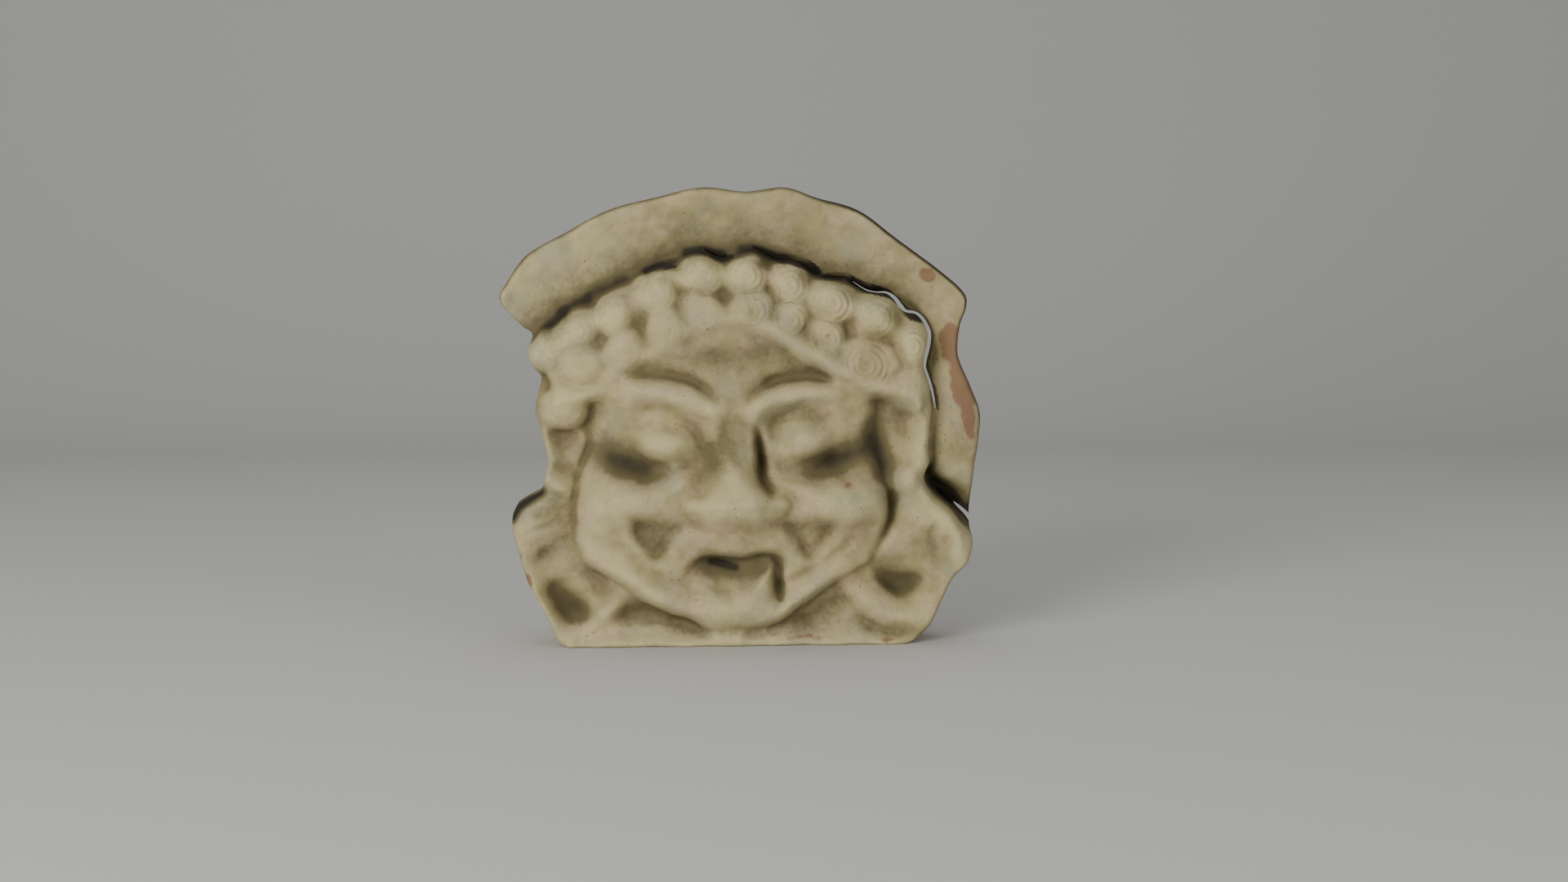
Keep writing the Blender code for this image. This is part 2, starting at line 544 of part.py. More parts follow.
def clay_surfaces():
    """Front and back of the clay on rings that shrink from the outline to the heart of the face."""
    edge = outline_points()
    heart = np.array(HEART)
    shares = np.linspace(1, 0, RINGS, endpoint=False)[:, None, None]
    places = heart + shares * (edge - heart)
    flat = np.vstack([places.reshape(-1, 2), heart])
    x, z = flat.T
    radii = np.hypot(*(edge - heart).T)
    to_edge = np.append(((1 - shares[:, :, 0]) * radii).ravel(), radii.max())
    x_scale = WIDTH / DRAWN_WIDTH
    z_scale = HEIGHT / DRAWN_HEIGHT
    rise = relief_level(x, z) - PLATE_LEVEL
    raised = np.maximum(rise, 0) * RELIEF_DEPTH / DRAWN_RELIEF
    sunk = np.minimum(rise, 0) * PLATE_THICKNESS / PLATE_LEVEL
    depth = PLATE_THICKNESS + raised + sunk
    near_edge = np.clip(to_edge * x_scale / RIM_ROUNDING, 0, 1)
    depth = depth - RIM_ROUNDING * (1 - np.sqrt(1 - (1 - near_edge) ** 2))
    x = x * x_scale
    z = z * z_scale
    hollow_radius = TILE_OUTER_RADIUS - TILE_WALL - HOLLOW_LEDGE
    reach = np.clip(np.hypot(x, z - TILE_CENTRE_HEIGHT) / hollow_radius, 0, 1)
    hollow = np.minimum(HOLLOW_DEPTH * (1 - reach ** 3), np.maximum(depth - FACE_WALL, 0))
    front = np.stack([x, PLATE_THICKNESS - depth, z], axis=1)
    back = np.stack([x, PLATE_THICKNESS - hollow, z], axis=1)
    return front, back


def clay_body(material):
    """Closed body between the two surfaces, thinned to the triangles its shape needs."""
    front, back = clay_surfaces()
    last = RINGS * SPOKES
    offset = len(front)
    faces = []
    for ring in range(RINGS):
        for spoke in range(SPOKES):
            here = ring * SPOKES + spoke
            beside = ring * SPOKES + (spoke + 1) % SPOKES
            if ring + 1 < RINGS:
                corners = (here, beside, beside + SPOKES, here + SPOKES)
            else:
                corners = (here, beside, last)
            faces.append(corners)
            faces.append(tuple(offset + corner for corner in reversed(corners)))
            if ring == 0:
                faces.append((beside, here, offset + here, offset + beside))
    mesh = bpy.data.meshes.new("antefix")
    mesh.from_pydata(np.vstack([front, back]).tolist(), [], faces)
    body = bmesh.new()
    body.from_mesh(mesh)
    bmesh.ops.recalc_face_normals(body, faces=body.faces)
    body.to_mesh(mesh)
    body.free()
    antefix = bpy.data.objects.new("antefix", mesh)
    bpy.context.collection.objects.link(antefix)
    mesh.materials.append(material)
    thin = antefix.modifiers.new("thin", "DECIMATE")
    thin.ratio = KEPT_SHARE
    return antefix


def tile_root():
    """Stub of the cover tile: a stilted arch from the ground, cut off flat behind."""
    section = []
    for radius, turns in ((TILE_OUTER_RADIUS, (0, math.pi)), (TILE_OUTER_RADIUS - TILE_WALL, (math.pi, 0))):
        start, end = (radius * math.cos(turn) for turn in turns)
        section.append((start, -GROUND_CUT))
        for turn in np.linspace(*turns, TILE_STEPS + 1):
            section.append((radius * math.cos(turn), TILE_CENTRE_HEIGHT + radius * math.sin(turn)))
        section.append((end, -GROUND_CUT))
    arch = bmesh.new()
    ring = [arch.verts.new((x, PLATE_THICKNESS - TILE_EMBED, z)) for x, z in section]
    face = arch.faces.new(ring)
    grown = bmesh.ops.extrude_face_region(arch, geom=[face])
    moved = [item for item in grown["geom"] if isinstance(item, bmesh.types.BMVert)]
    bmesh.ops.translate(arch, verts=moved, vec=(0, TILE_LENGTH + TILE_EMBED, 0))
    bmesh.ops.recalc_face_normals(arch, faces=arch.faces)
    return helper("tile_root", arch)


def ground_block():
    """Block below z = 0 that leaves the underside flat."""
    block = bmesh.new()
    bmesh.ops.create_cube(block, size=1.0)
    reach = WIDTH + HEIGHT
    bmesh.ops.scale(block, vec=(reach, reach, reach), verts=block.verts)
    bmesh.ops.translate(block, vec=(0, 0, -reach / 2), verts=block.verts)
    return helper("ground_block", block)


def helper(name, shape):
    """An operand of a Boolean, kept out of the finished model."""
    mesh = bpy.data.meshes.new(name)
    shape.to_mesh(mesh)
    shape.free()
    operand = bpy.data.objects.new(name, mesh)
    bpy.context.collection.objects.link(operand)
    operand.hide_render = True
    operand.display_type = "WIRE"
    return operand


def combine(target, operand, operation):
    step = target.modifiers.new(operand.name, "BOOLEAN")
    step.operation = operation
    step.solver = "EXACT"
    step.object = operand


def crack_cutter(number, path, widths):
    """Thin curved wall along the path, carried straight through the clay along the lean."""
    curve = np.array(path, float)
    steps = np.gradient(curve, axis=0)
    lengths = np.hypot(*steps.T)
    aside = np.stack([-steps[:, 1], steps[:, 0]], axis=1) / lengths[:, None]
    sizes = np.array([WIDTH / DRAWN_WIDTH, HEIGHT / DRAWN_HEIGHT])
    front = -HOOD_SWELL * RELIEF_DEPTH / DRAWN_RELIEF - CRACK_MARGIN
    back = PLATE_THICKNESS + CRACK_MARGIN
    wall = bmesh.new()
    sections = []
    for place, normal, width in zip(curve, aside, widths):
        section = []
        for side, y in ((-0.5, front), (-0.5, back), (0.5, back), (0.5, front)):
            drift = np.array(CRACK_LEAN) * (y - CRACK_REFERENCE)
            x, z = (place + side * width * normal) * sizes + drift
            section.append(wall.verts.new((x, y, z)))
        sections.append(section)
    for here, beyond in zip(sections[:-1], sections[1:]):
        for corner in range(4):
            beside = (corner + 1) % 4
            wall.faces.new((here[corner], here[beside], beyond[beside], beyond[corner]))
    wall.faces.new(sections[0])
    wall.faces.new(sections[-1])
    bmesh.ops.recalc_face_normals(wall, faces=wall.faces)
    return helper(f"crack_{number}", wall)


def clay_material():
    """Matt fired clay under a pale buff slip."""
    material = bpy.data.materials.new("fired_clay")
    material.use_nodes = True
    shader = material.node_tree.nodes["Principled BSDF"]
    shader.inputs["Base Color"].default_value = (0.38, 0.31, 0.20, 1.0)
    shader.inputs["Roughness"].default_value = 0.85
    shader.inputs["Metallic"].default_value = 0.0
    return material


def main():
    clear_scene()
    antefix = clay_body(clay_material())
    combine(antefix, tile_root(), "UNION")
    combine(antefix, ground_block(), "DIFFERENCE")
    for number, (path, widths) in enumerate(CRACKS, 1):
        combine(antefix, crack_cutter(number, path, widths), "DIFFERENCE")


main()
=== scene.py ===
import json
import math

import bpy
import numpy as np
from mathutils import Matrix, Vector

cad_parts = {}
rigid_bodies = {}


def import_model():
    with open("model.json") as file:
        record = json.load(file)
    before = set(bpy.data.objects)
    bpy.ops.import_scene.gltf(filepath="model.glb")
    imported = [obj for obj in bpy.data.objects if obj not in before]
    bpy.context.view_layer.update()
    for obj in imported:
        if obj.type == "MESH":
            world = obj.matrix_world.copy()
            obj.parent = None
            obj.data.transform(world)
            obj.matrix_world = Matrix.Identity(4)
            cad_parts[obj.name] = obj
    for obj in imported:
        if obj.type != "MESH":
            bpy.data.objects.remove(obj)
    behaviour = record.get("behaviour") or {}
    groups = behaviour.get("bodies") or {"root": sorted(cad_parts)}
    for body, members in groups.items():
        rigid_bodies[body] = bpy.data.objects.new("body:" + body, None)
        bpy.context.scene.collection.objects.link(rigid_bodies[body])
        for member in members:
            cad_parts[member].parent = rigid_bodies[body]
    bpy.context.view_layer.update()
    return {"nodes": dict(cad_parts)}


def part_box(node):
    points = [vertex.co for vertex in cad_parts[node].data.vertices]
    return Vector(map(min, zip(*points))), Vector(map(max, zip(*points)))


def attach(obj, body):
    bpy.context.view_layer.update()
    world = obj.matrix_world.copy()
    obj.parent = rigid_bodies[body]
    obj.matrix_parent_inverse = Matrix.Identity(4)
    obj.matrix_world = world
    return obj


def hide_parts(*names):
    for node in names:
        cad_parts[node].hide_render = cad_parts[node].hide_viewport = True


# Terracotta antefix: a gorgon's head under an arched hood, with the root of its cover tile behind.
# The carving is a height field. Its places are (across, up) in millimetres of a drawing of the front,
# across from the middle of the underside, and its levels are millimetres forward of the back plane.
# The frame's box scales that drawing to the real piece. Everything outside the carving is in metres.

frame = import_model()
print("frame loaded:", ", ".join(frame["nodes"]))

lowCorner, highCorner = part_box("antefix")

tile = {
    "length": 0.035,  # how far the root of the cover tile stands back from the plate
    "outerRadius": 0.072,
    "wall": 0.016,
    "centreHeight": 0.070,
    "embed": 0.004,
    "foot": 0.0003,  # the legs end this far above the underside of the plate
    "arris": 0.0022,
    "lumps": [(24, 0.0005, 31), (8, 0.0002, 32)],  # spacing in millimetres, height in metres, seed
    "calm": (0.004, 0.006),  # no lumps at the cut end and the feet, full lumps this far from them
    "pathSteps": 150,
    "cornerSteps": 7,
    "sideSteps": 11,
    "cutSteps": 8,
    "insideSteps": 6,
}

plate = {
    "backPlane": highCorner[1] - tile["length"],
    "fineness": 240,  # cells across the front, twice the cells across the back
    "rimRounding": 3.0,
    "backRounding": 1.6,
    "sideRows": 12,
    "bendRows": 4,  # how many of them go round the back edge
    "hollowDepth": 0.024,
    "hollowLedge": 0.004,
    "faceWall": 0.012,
    "jointFillet": (0.0045, 0.0035),  # rise and width of the clay pressed along the tile's joint
    "filletFrom": 0.01,  # height over which that clay grows from nothing
    "backLumps": [(22, 0.0004, 11), (7, 0.00015, 12)],  # spacing in millimetres, height in metres, seed
    "backLumpMost": 0.0003,
    "backCalm": (0.02, 0.004),  # lumps grow over this height, and fade out in the dish over this much
    "sideLumps": (9, 0.3, 21),  # spacing and height in millimetres, seed
    "sideCalm": 8,
    "heart": (0.0, 95.0),  # drawing place that the grids shrink towards
    "middle": -3.0,  # the face's own midline, a little left of the drawing's
}

drawing = {"width": 221.7, "height": 210.2}


# Shape helpers

def fade(value):  # 0 below 0, 1 above 1, a soft S between
    value = np.clip(value, 0, 1)
    return value * value * (3 - 2 * value)


def between(value, start, full):  # 0 at start, 1 at full, a soft S on the way
    return fade((value - start) / (full - start))


def upper(first, second, width):
    # the higher of two surfaces, with a fillet about width wide where they cross
    share = np.clip(0.5 + 0.5 * (first - second) / width, 0, 1)
    return second * (1 - share) + first * share + width * share * (1 - share)


def reach(x, z, place, radii, turn=0):  # distance from the middle of a turned ellipse, 1 on its edge
    c, s = math.cos(math.radians(turn)), math.sin(math.radians(turn))
    ahead = (x - place[0]) * c + (z - place[1]) * s
    beside = (z - place[1]) * c - (x - place[0]) * s
    return np.sqrt((ahead / radii[0]) ** 2 + (beside / radii[1]) ** 2)


def swell(x, z, place, radii, turn, rise):  # rise times e to the minus reach to the power 2.4
    return rise * np.exp(-reach(x, z, place, radii, turn) ** 2.4)


def boss(x, z, place, radii, turn, foot, rise, power=0.5):
    # inside the ellipse foot plus rise times (1 minus reach squared) to a power, outside it a slope of 3
    r = reach(x, z, place, radii, turn)
    return foot + rise * (1 - np.clip(r, 0, 1) ** 2) ** power - 3 * np.maximum(r - 1, 0) * min(radii)


def smoothPath(points, steps=4):  # Catmull-Rom curve through the points
    p = np.array([points[0], *points, points[-1]], float)
    t = np.linspace(0, 1, steps, endpoint=False)[:, None]
    runs = []
    for a, b, c, d in zip(p[:-3], p[1:-2], p[2:-1], p[3:]):
        square = (2 * a - 5 * b + 4 * c - d) * t ** 2
        cube = (3 * b - a - 3 * c + d) * t ** 3
        runs.append(b + 0.5 * ((c - a) * t + square + cube))
    return np.vstack(runs + [p[-1:]])


def pathGap(x, z, points, far):
    # distance to the nearest stretch of the path, and the share of the path passed there;
    # far stands for out of reach
    curve = smoothPath(points)
    gap = np.full(x.shape, float(far))
    share = np.zeros(x.shape)
    last = len(curve) - 1
    for i in range(last):
        step = curve[i + 1] - curve[i]
        low = np.minimum(curve[i], curve[i + 1]) - far
        high = np.maximum(curve[i], curve[i + 1]) + far
        near = (x > low[0]) & (x < high[0]) & (z > low[1]) & (z < high[1])
        dx, dz = x[near] - curve[i, 0], z[near] - curve[i, 1]
        t = np.clip((dx * step[0] + dz * step[1]) / (step @ step), 0, 1)
        d = np.hypot(dx - t * step[0], dz - t * step[1])
        old, oldShare = gap[near], share[near]
        closer = d < old
        gap[near] = np.where(closer, d, old)
        share[near] = np.where(closer, (i + t) / last, oldShare)
    return gap, share


def along(share, row, count):
    # value at a share of the way along a row of count values; one value serves for all
    return np.interp(share, np.linspace(0, 1, count), np.broadcast_to(row, count))


def roll(x, z, points, width, rise):
    # a rounded bar along the path: rise times e to the minus (gap over width) squared;
    # width and rise may vary along it
    gap, share = pathGap(x, z, points, 3 * np.max(width))
    width, rise = along(share, width, len(points)), along(share, rise, len(points))
    return rise * np.exp(-(gap / width) ** 2)


def insideOf(x, z, corners):  # true inside a closed polygon, by counting the edges crossed on the way out
    found = np.zeros(x.shape, bool)
    for a, b in zip(corners, np.roll(corners, -1, axis=0)):
        crosses = (a[1] > z) != (b[1] > z)
        rise = b[1] - a[1] if b[1] != a[1] else 1.0
        found ^= crosses & (x < a[0] + (b[0] - a[0]) * (z - a[1]) / rise)
    return found


def sideOf(x, z, points, closing, far=45):
    # distance to the path, positive on the side that the closing corners take in, and the share passed
    gap, share = pathGap(x, z, points, far)
    return np.where(insideOf(x, z, np.vstack([smoothPath(points), closing])), gap, -gap), share


def crease(x, z, points, closing, widths, depth):
    # a groove along the path: depth times e to the minus (gap over width) squared, with one row of widths
    # for the side that the closing corners take in and one for the side beyond
    far = 3 * max(np.max(side) for side in widths)
    fromPath, share = sideOf(x, z, points, closing, far)
    near, beyond, deep = (along(share, row, len(points)) for row in (*widths, depth))
    return -deep * np.exp(-(fromPath / np.where(fromPath > 0, near, beyond)) ** 2)


def dent(x, z, corners, edge, depth):
    # a flat-floored hollow inside a closed outline, its side a soft step edge wide
    ring = [*corners, corners[0]]
    gap, _ = pathGap(x, z, ring, 1.5 * edge)
    return -depth * fade(np.where(insideOf(x, z, smoothPath(ring)), gap, -gap) / edge + 0.5)


def addRows(level, shape, x, z, rows, share=1):  # adds the shape that each row describes, times the share
    for row in rows:
        level = level + share * shape(x, z, *row)
    return level


# How the carving's rows read. roll: path, width, rise. swell: place, half sizes, turn, rise.
# boss: place, half sizes, turn, foot, rise, power. crease: path, closing corners, widths on their side and
# beyond, depths. Paired features are given once; out is the distance from the face's midline.
middle = plate["middle"]

hood = {
    "level": 16, "swell": 5.0, "swellOver": 26, "grooveAt": 1.5, "grooveWidth": 1.3, "wallFrom": 0.8,
    "grooveGone": (20, 26),  # levels between which the groove fades out
    # height and spread of the soft lobes, and where they fade in
    "lobes": (0.35, 3.4), "lobesFrom": (-14, -24),
    "headSide": [(200, -60), (-200, -60)],  # corners that close the edge round the head
    # foot of the wall round the head: across, up, width of the wall, depth of the groove along it
    "edge": [(-120, 130, 4, 0), (-98.6, 138.7, 4, 0), (-90.3, 146.9, 4, 1), (-85.1, 148.8, 4, 1),
             (-80.6, 154.4, 6, 1), (-76.1, 158.1, 7, 0.8), (-68.6, 160.8, 6, 0.8), (-57.4, 167.1, 5, 0.8),
             (-46.9, 172.3, 4, 1), (-35.6, 176.8, 4.4, 3), (-29.2, 179.5, 4.6, 1.5), (-22, 182.8, 4.6, 1),
             (-14.6, 182.3, 4.6, 3), (-8, 180.4, 4.6, 1.5), (-1, 181, 4.6, 0.5), (8.5, 182.9, 4.6, 2),
             (16, 178.6, 4.2, 4), (19.8, 177.4, 4, 4), (26.3, 177.8, 4, 4), (35, 173.2, 4, 4),
             (39.5, 170.9, 4, 3), (44.5, 170.5, 4, 4), (54, 167.9, 4, 4), (59.7, 164.9, 4, 4),
             (71.1, 162.4, 4, 4), (76.9, 157.3, 4, 4), (84.9, 152.4, 4, 4), (88.8, 148.2, 3.5, 3),
             (90.2, 142.9, 3, 1.5), (89.6, 134.6, 3, 1), (88.4, 128.5, 3, 1), (89.4, 123.9, 3, 1),
             (91.2, 118.2, 3, 1), (92.8, 110, 3, 1), (92.4, 104.5, 3, 1), (90.5, 97.2, 3, 1.5),
             (88.9, 90, 3, 3), (89.3, 84, 3, 5), (88.5, 77.5, 3.5, 5), (91.5, 70.5, 4, 0), (96, 66.5, 4, 0),
             (101, 62, 4, 0), (106, 57.5, 4, 0), (112, 51, 4, 0), (119, 43, 4, 0)],
    "wing": ((99, 112), (13, 40), 0, 6.5),
    "notchFrom": (30, 22),  # levels between which the notch fades in
    "notch": ([(87, 79), (92, 72.5), (96.5, 69), (101, 65.5), (106, 62), (112, 57.5)],
              [2, 3, 4, 4.6, 5.2, 5.6], [4, 9, 11, 10.5, 8.5, 7]),
}


def fromHeadEdge(x, z):  # distance inside the foot of the wall round the head, and the share of it passed
    return sideOf(x, z, np.array(hood["edge"])[:, :2], hood["headSide"])


def hoodLevel(x, z):  # gently dished plain band, with the wall up to the head and the groove at its foot
    *_, wallWidth, grooveDepth = np.array(hood["edge"]).T
    fromEdge, share = fromHeadEdge(x, z)
    level = hood["level"] + hood["swell"] * fade(-fromEdge / hood["swellOver"])
    height, spread = hood["lobes"]
    level = level + height * np.cos(x / spread + 1) * between(fromEdge, *hood["lobesFrom"])
    level = level + swell(x, z, *hood["wing"])
    groove = np.exp(-((fromEdge - hood["grooveAt"]) / hood["grooveWidth"]) ** 2)
    groove = along(share, grooveDepth, len(grooveDepth)) * groove
    wall = fade((fromEdge - hood["wallFrom"]) / along(share, wallWidth, len(wallWidth)))
    return level, fromEdge, wall, groove


face = {
    # jaw line: across, up, width of the rolled edge inside it
    "jaw": [(-66.5, 112, 18), (-67.9, 102.1, 18), (-69.5, 87.2, 18), (-71.8, 79.8, 17), (-74.8, 68.6, 15),
            (-76, 57.5, 12), (-75.3, 50, 9), (-71.3, 42.5, 7.5), (-66.1, 35, 6.5), (-59.8, 30.4, 6),
            (-54.3, 27.3, 6), (-46.8, 23.5, 6), (-39.4, 20.4, 6), (-32, 16.6, 6), (-24.5, 13.1, 6),
            (-17, 10, 6), (-9.5, 8.8, 6), (-2, 8.4, 6), (6.2, 8.6, 6), (14.9, 10.1, 6), (20.5, 13.2, 6),
            (26.1, 17.8, 6), (31.8, 21, 6), (39.3, 25.7, 6), (46.8, 30.9, 6.5), (58.1, 37.6, 7),
            (62.7, 42.5, 7), (66.8, 48.8, 7), (69.8, 56.4, 8), (70.7, 64, 9), (69.3, 72, 10),
            (66.7, 81.5, 11), (65.3, 92, 12), (64, 111, 12)],
    # corners that close the jaw line over the head
    "headSide": [(90, 150), (60, 220), (-60, 220), (-90, 150)],
    "sideLevel": 33, "swell": 13, "oval": ((middle, 86), (80, 88)), "ovalPower": 0.8,
    "ground": (31, 28.5), "lowFrom": (76, 62),  # level beside the face and by the base, and where it drops
    "edgePower": 2.2,
    # the edge is round, but for the upper right side, which slopes out: powers there, and where that starts
    "roundness": (0.5, 0.6), "slopeUp": (74, 90), "slopeAcross": (0, 20),
    "jawFade": (-1, 2),  # distances inside the jaw line between which the face takes over
}


def faceLevel(x, z):
    # ground plus a swelling oval whose edge rolls over like a quarter round along the jaw
    jaw = np.array(face["jaw"])
    fromJaw, share = sideOf(x, z, jaw[:, :2], face["headSide"])
    low = between(z, *face["lowFrom"])
    ground = face["ground"][0] * (1 - low) + face["ground"][1] * low
    edge = np.clip(fromJaw / along(share, jaw[:, 2], len(jaw)), 0, 1)
    oval = (1 - np.clip(reach(x, z, *face["oval"]), 0, 1) ** 2) ** face["ovalPower"]
    top = face["sideLevel"] + face["swell"] * oval
    least, more = face["roundness"]
    power = least + more * between(z, *face["slopeUp"]) * between(x, *face["slopeAcross"])
    level = ground + (top - ground) * (1 - (1 - edge) ** face["edgePower"]) ** power
    return level, low, 1 - between(fromJaw, *face["jawFade"])


brow = {
    "forehead": ((1, 131), (38, 13), 0, 1.0),
    "furrow": ((-1, 134.5), (19, 3.4), 2, -1.9),
    "above": ((33, 131), (22, 8), 4, -1.6),
    "ridge": ([(3, 108), (12, 111), (22, 113.5), (34, 116), (47, 117.2), (58, 116.5)],
              [5, 5.5, 5.6, 5.6, 5.6, 6],
              [1.6, 4.2, 4.8, 4.4, 3.4, 1.4]),
    "innerRim": ([(11, 110), (9.3, 104), (9.6, 98), (12, 92)], [4.6, 4, 3.6, 3.4], [1.8, 2.6, 2.2, 0.4]),
    "groove": ([(5.5, 112.5), (10, 116.6), (16, 120.3), (23, 122.9), (30, 124), (37, 124.3), (44, 124.4),
                (51, 124.6)],
               [(53, 170), (5, 170)],
               ([1.5, 2.6, 3.6, 4.6, 5, 4.6, 3.4, 2.2], [1.2, 1.8, 2, 2.2, 2.2, 2.2, 2, 1.5]),
               [0.3, 2.8, 4.8, 5.6, 5.4, 4.6, 3.0, 0.5]),
}


def addBrow(x, z, out, level):
    for name in ("forehead", "furrow"):
        place, radii, turn, rise = brow[name]
        level = level + swell(x, z, (place[0] + middle, place[1]), radii, turn, rise)
    level = level + swell(out, z, *brow["above"])
    level = addRows(level, roll, out, z, [brow["ridge"], brow["innerRim"]])
    return level + crease(out, z, *brow["groove"])


eye = {
    "orbit": ((32, 94), (26, 17), 0, -3.8),
    "ring": ([(45, 103), (37, 106.5), (27, 106), (19, 102), (16.5, 95)], 3.8, [0.6, 2.2, 3.2, 3.2, 2.0]),
    "ball": ((30.6, 94), (16, 9.6), 3, 36.5, 9.4, 0.85), "ballBlend": 3.0,
    "lidLine": ([(18, 99), (24, 102), (31, 102.4), (38, 100.3), (43, 97)], 1.3, [0.2, 0.6, 0.7, 0.5, 0.2]),
    "crescent": ([(57, 91.5), (49, 85), (39, 81), (27, 81.6), (14, 88.5)], [8, 8.4, 7, 5, 4],
                 [3, 8.2, 6.2, 3.6, 2.0]),
    "temple": ((58, 95), (9, 16), 8, -3.0),
}


def addEyes(out, z, level):
    level = level + swell(out, z, *eye["orbit"]) - roll(out, z, *eye["ring"])
    level = upper(level, boss(out, z, *eye["ball"]), eye["ballBlend"])
    level = level + roll(out, z, *eye["lidLine"]) - roll(out, z, *eye["crescent"])
    return level + swell(out, z, *eye["temple"])


nose = {
    "middle": -1.3,
    # up, half width, crest level, power of the flanks
    "steps": [(46, 21, 34, 3), (52, 21, 42, 3), (57, 22, 50, 3), (61.5, 22.5, 56.5, 3),
              (66.5, 22, 60.3, 2.8), (75, 18.5, 54.5, 2.2), (85, 15.5, 48.5, 2), (97, 13, 45, 1.8),
              (108, 13, 44.5, 1.8), (118, 16, 42, 1.8)],
    "flank": 15, "blend": 6.0,
    "wing": ((18, 66.8), (6.6, 5.6), 0, 43, 8, 0.8), "wingBlend": 3.5,
    "wingPit": ((12.6, 62.8), (2.2, 2.8), 0, -1.6),
    "under": ((0, 56.5), (15, 3), 0, -0.6),
    "grooves": [([(6.6, 103), (7.2, 99), (8.2, 94), (9.6, 87.5), (10.8, 80.3), (13.2, 73.4), (16, 70)],
                 [1.5, 1.7, 1.9, 2.0, 2.2, 2.4, 2], [1.0, 6.0, 10.5, 11, 10, 7, 1]),
                ([(-12.5, 97), (-15, 89), (-18.5, 81), (-23, 73)], [4.5, 5.5, 5.5, 4],
                 [1.0, 2.6, 2.6, 0.8]),
                ([(16, 73), (20.5, 70), (24, 66.5)], 2.2, [1.0, 2.2, 0.6])],
}


def addNose(x, z, level):
    # crest level less flank times (out over half width) to a power, blended over the face
    out = np.abs(x - nose["middle"])
    up, halfWidth, crest, power = np.array(nose["steps"], float).T
    flank = nose["flank"] * (out / np.interp(z, up, halfWidth)) ** np.interp(z, up, power)
    level = upper(level, np.interp(z, up, crest) - flank, nose["blend"])
    level = upper(level, boss(out, z, *nose["wing"]), nose["wingBlend"])
    level = addRows(level, swell, out, z, [nose["wingPit"], nose["under"]])
    return addRows(level, roll, x, z, nose["grooves"], -1)


mouth = {
    "cheek": ((52, 65.5), (16, 10.5), -6, 5.0),
    "cheekToNose": ([(20, 78), (26, 75), (38, 70.5), (54, 65)], [5, 6, 6.8, 7], [0.8, 3.4, 4, 1.6]),
    "lipSwell": ((0, 51), (26, 8), 0, 3.4),
    "lipEdge": ([(19, 61), (28, 63.5), (36, 64), (47, 61.5)], 4, [0.3, 1.2, 1.2, 0.6]),
    # corners, softness of the side, depth
    "pocket": ([(23, 57), (33, 59.5), (44, 58.5), (45, 53), (40, 46), (35, 40.5), (28.5, 48)], 9, 3.8),
    "pocketSide": ([(44.6, 57.5), (41, 50.5), (36, 42.6), (31, 48.5), (26, 55.5)], 2.6,
                   [1.2, 2.0, 2.2, 1.6, 0.8]),
    "opening": ([(-26, 30), (-22.5, 36), (-15, 40), (-6, 41), (4, 40.6), (13.5, 41.8), (17.6, 38.5),
                 (18.8, 29), (19, 20)],
                [(6, 12), (-22, 20)], ([5, 9, 12, 13, 13, 10, 5, 3.8, 3],
                                       [2.4, 2.8, 3, 3, 3, 2.8, 2.4, 1.9, 1.6]),
                [0.6, 3.6, 7.5, 9.2, 7.4, 6.4, 7.2, 7.0, 1.0]),
    "openingDeep": ([(-14, 39.8), (-8, 38.6), (-1, 36.6)], 2.3, [1.0, 3.4, 0.6]),
    "tooth": ([(5, 30), (10, 33), (13.4, 36)], 2.0, [0.3, 0.8, 0.3]),
    "lowerLip": ([(52, 55), (45, 45.5), (37, 38.5), (27, 33.5)], [5, 5.5, 5.5, 4.5], [0.6, 1.4, 1.4, 0.6]),
    "lipGroove": ([(58, 58), (50, 47), (41, 38.6), (32.5, 32.6), (24, 28), (17.2, 24)],
                  [3, 2.6, 2.6, 2.6, 3, 3],
                  [0.6, 1.8, 2.2, 2.4, 2.2, 0.8]),
    "scratches": [([(21, 17.5), (33, 23.6), (47, 33.4), (60, 44)], 1.1, [0.3, 0.9, 0.9, 0.3]),
                  ([(26, 22.5), (38, 29.8), (50, 39)], 1.0, [0.3, 0.8, 0.3]),
                  ([(-66, 40), (-55, 32), (-43, 26)], 1.0, [0.3, 0.7, 0.3]),
                  ([(-60, 60), (-53, 50), (-43, 41)], 1.1, [0.3, 0.7, 0.3]),
                  ([(-20, 31), (-12, 27), (-2, 25.6)], 1.1, [0.3, 0.7, 0.3])],
    "jawRoll": ([(70, 62), (69.6, 53), (66, 44), (58.5, 37), (48.5, 31), (36, 24.4), (22.5, 16.8), (10, 13),
                 (0, 12.2)], 4.6,
                [1.0, 2.4, 3.4, 3.8, 3.8, 3.6, 2.6, 1.0, 0.8]),
    "chin": ((1, 18.5), (20, 10), 0, 35, 8.2, 1.0), "chinBlend": 5.0,
}


def addMouth(x, z, out, level):
    level = addRows(level, swell, out, z, [mouth["cheek"], mouth["lipSwell"]])
    proud = ("cheekToNose", "lipEdge", "lowerLip", "jawRoll")
    level = addRows(level, roll, out, z, [mouth[name] for name in proud])
    level = addRows(level, roll, out, z, [mouth["lipGroove"], mouth["pocketSide"]], -1)
    level = level + dent(out, z, *mouth["pocket"])
    level = upper(level, boss(out, z, *mouth["chin"]), mouth["chinBlend"])
    level = level + crease(x, z, *mouth["opening"]) - roll(x, z, *mouth["openingDeep"])
    level = addRows(level, roll, x, z, mouth["scratches"], -1)
    return level + roll(x, z, *mouth["tooth"])


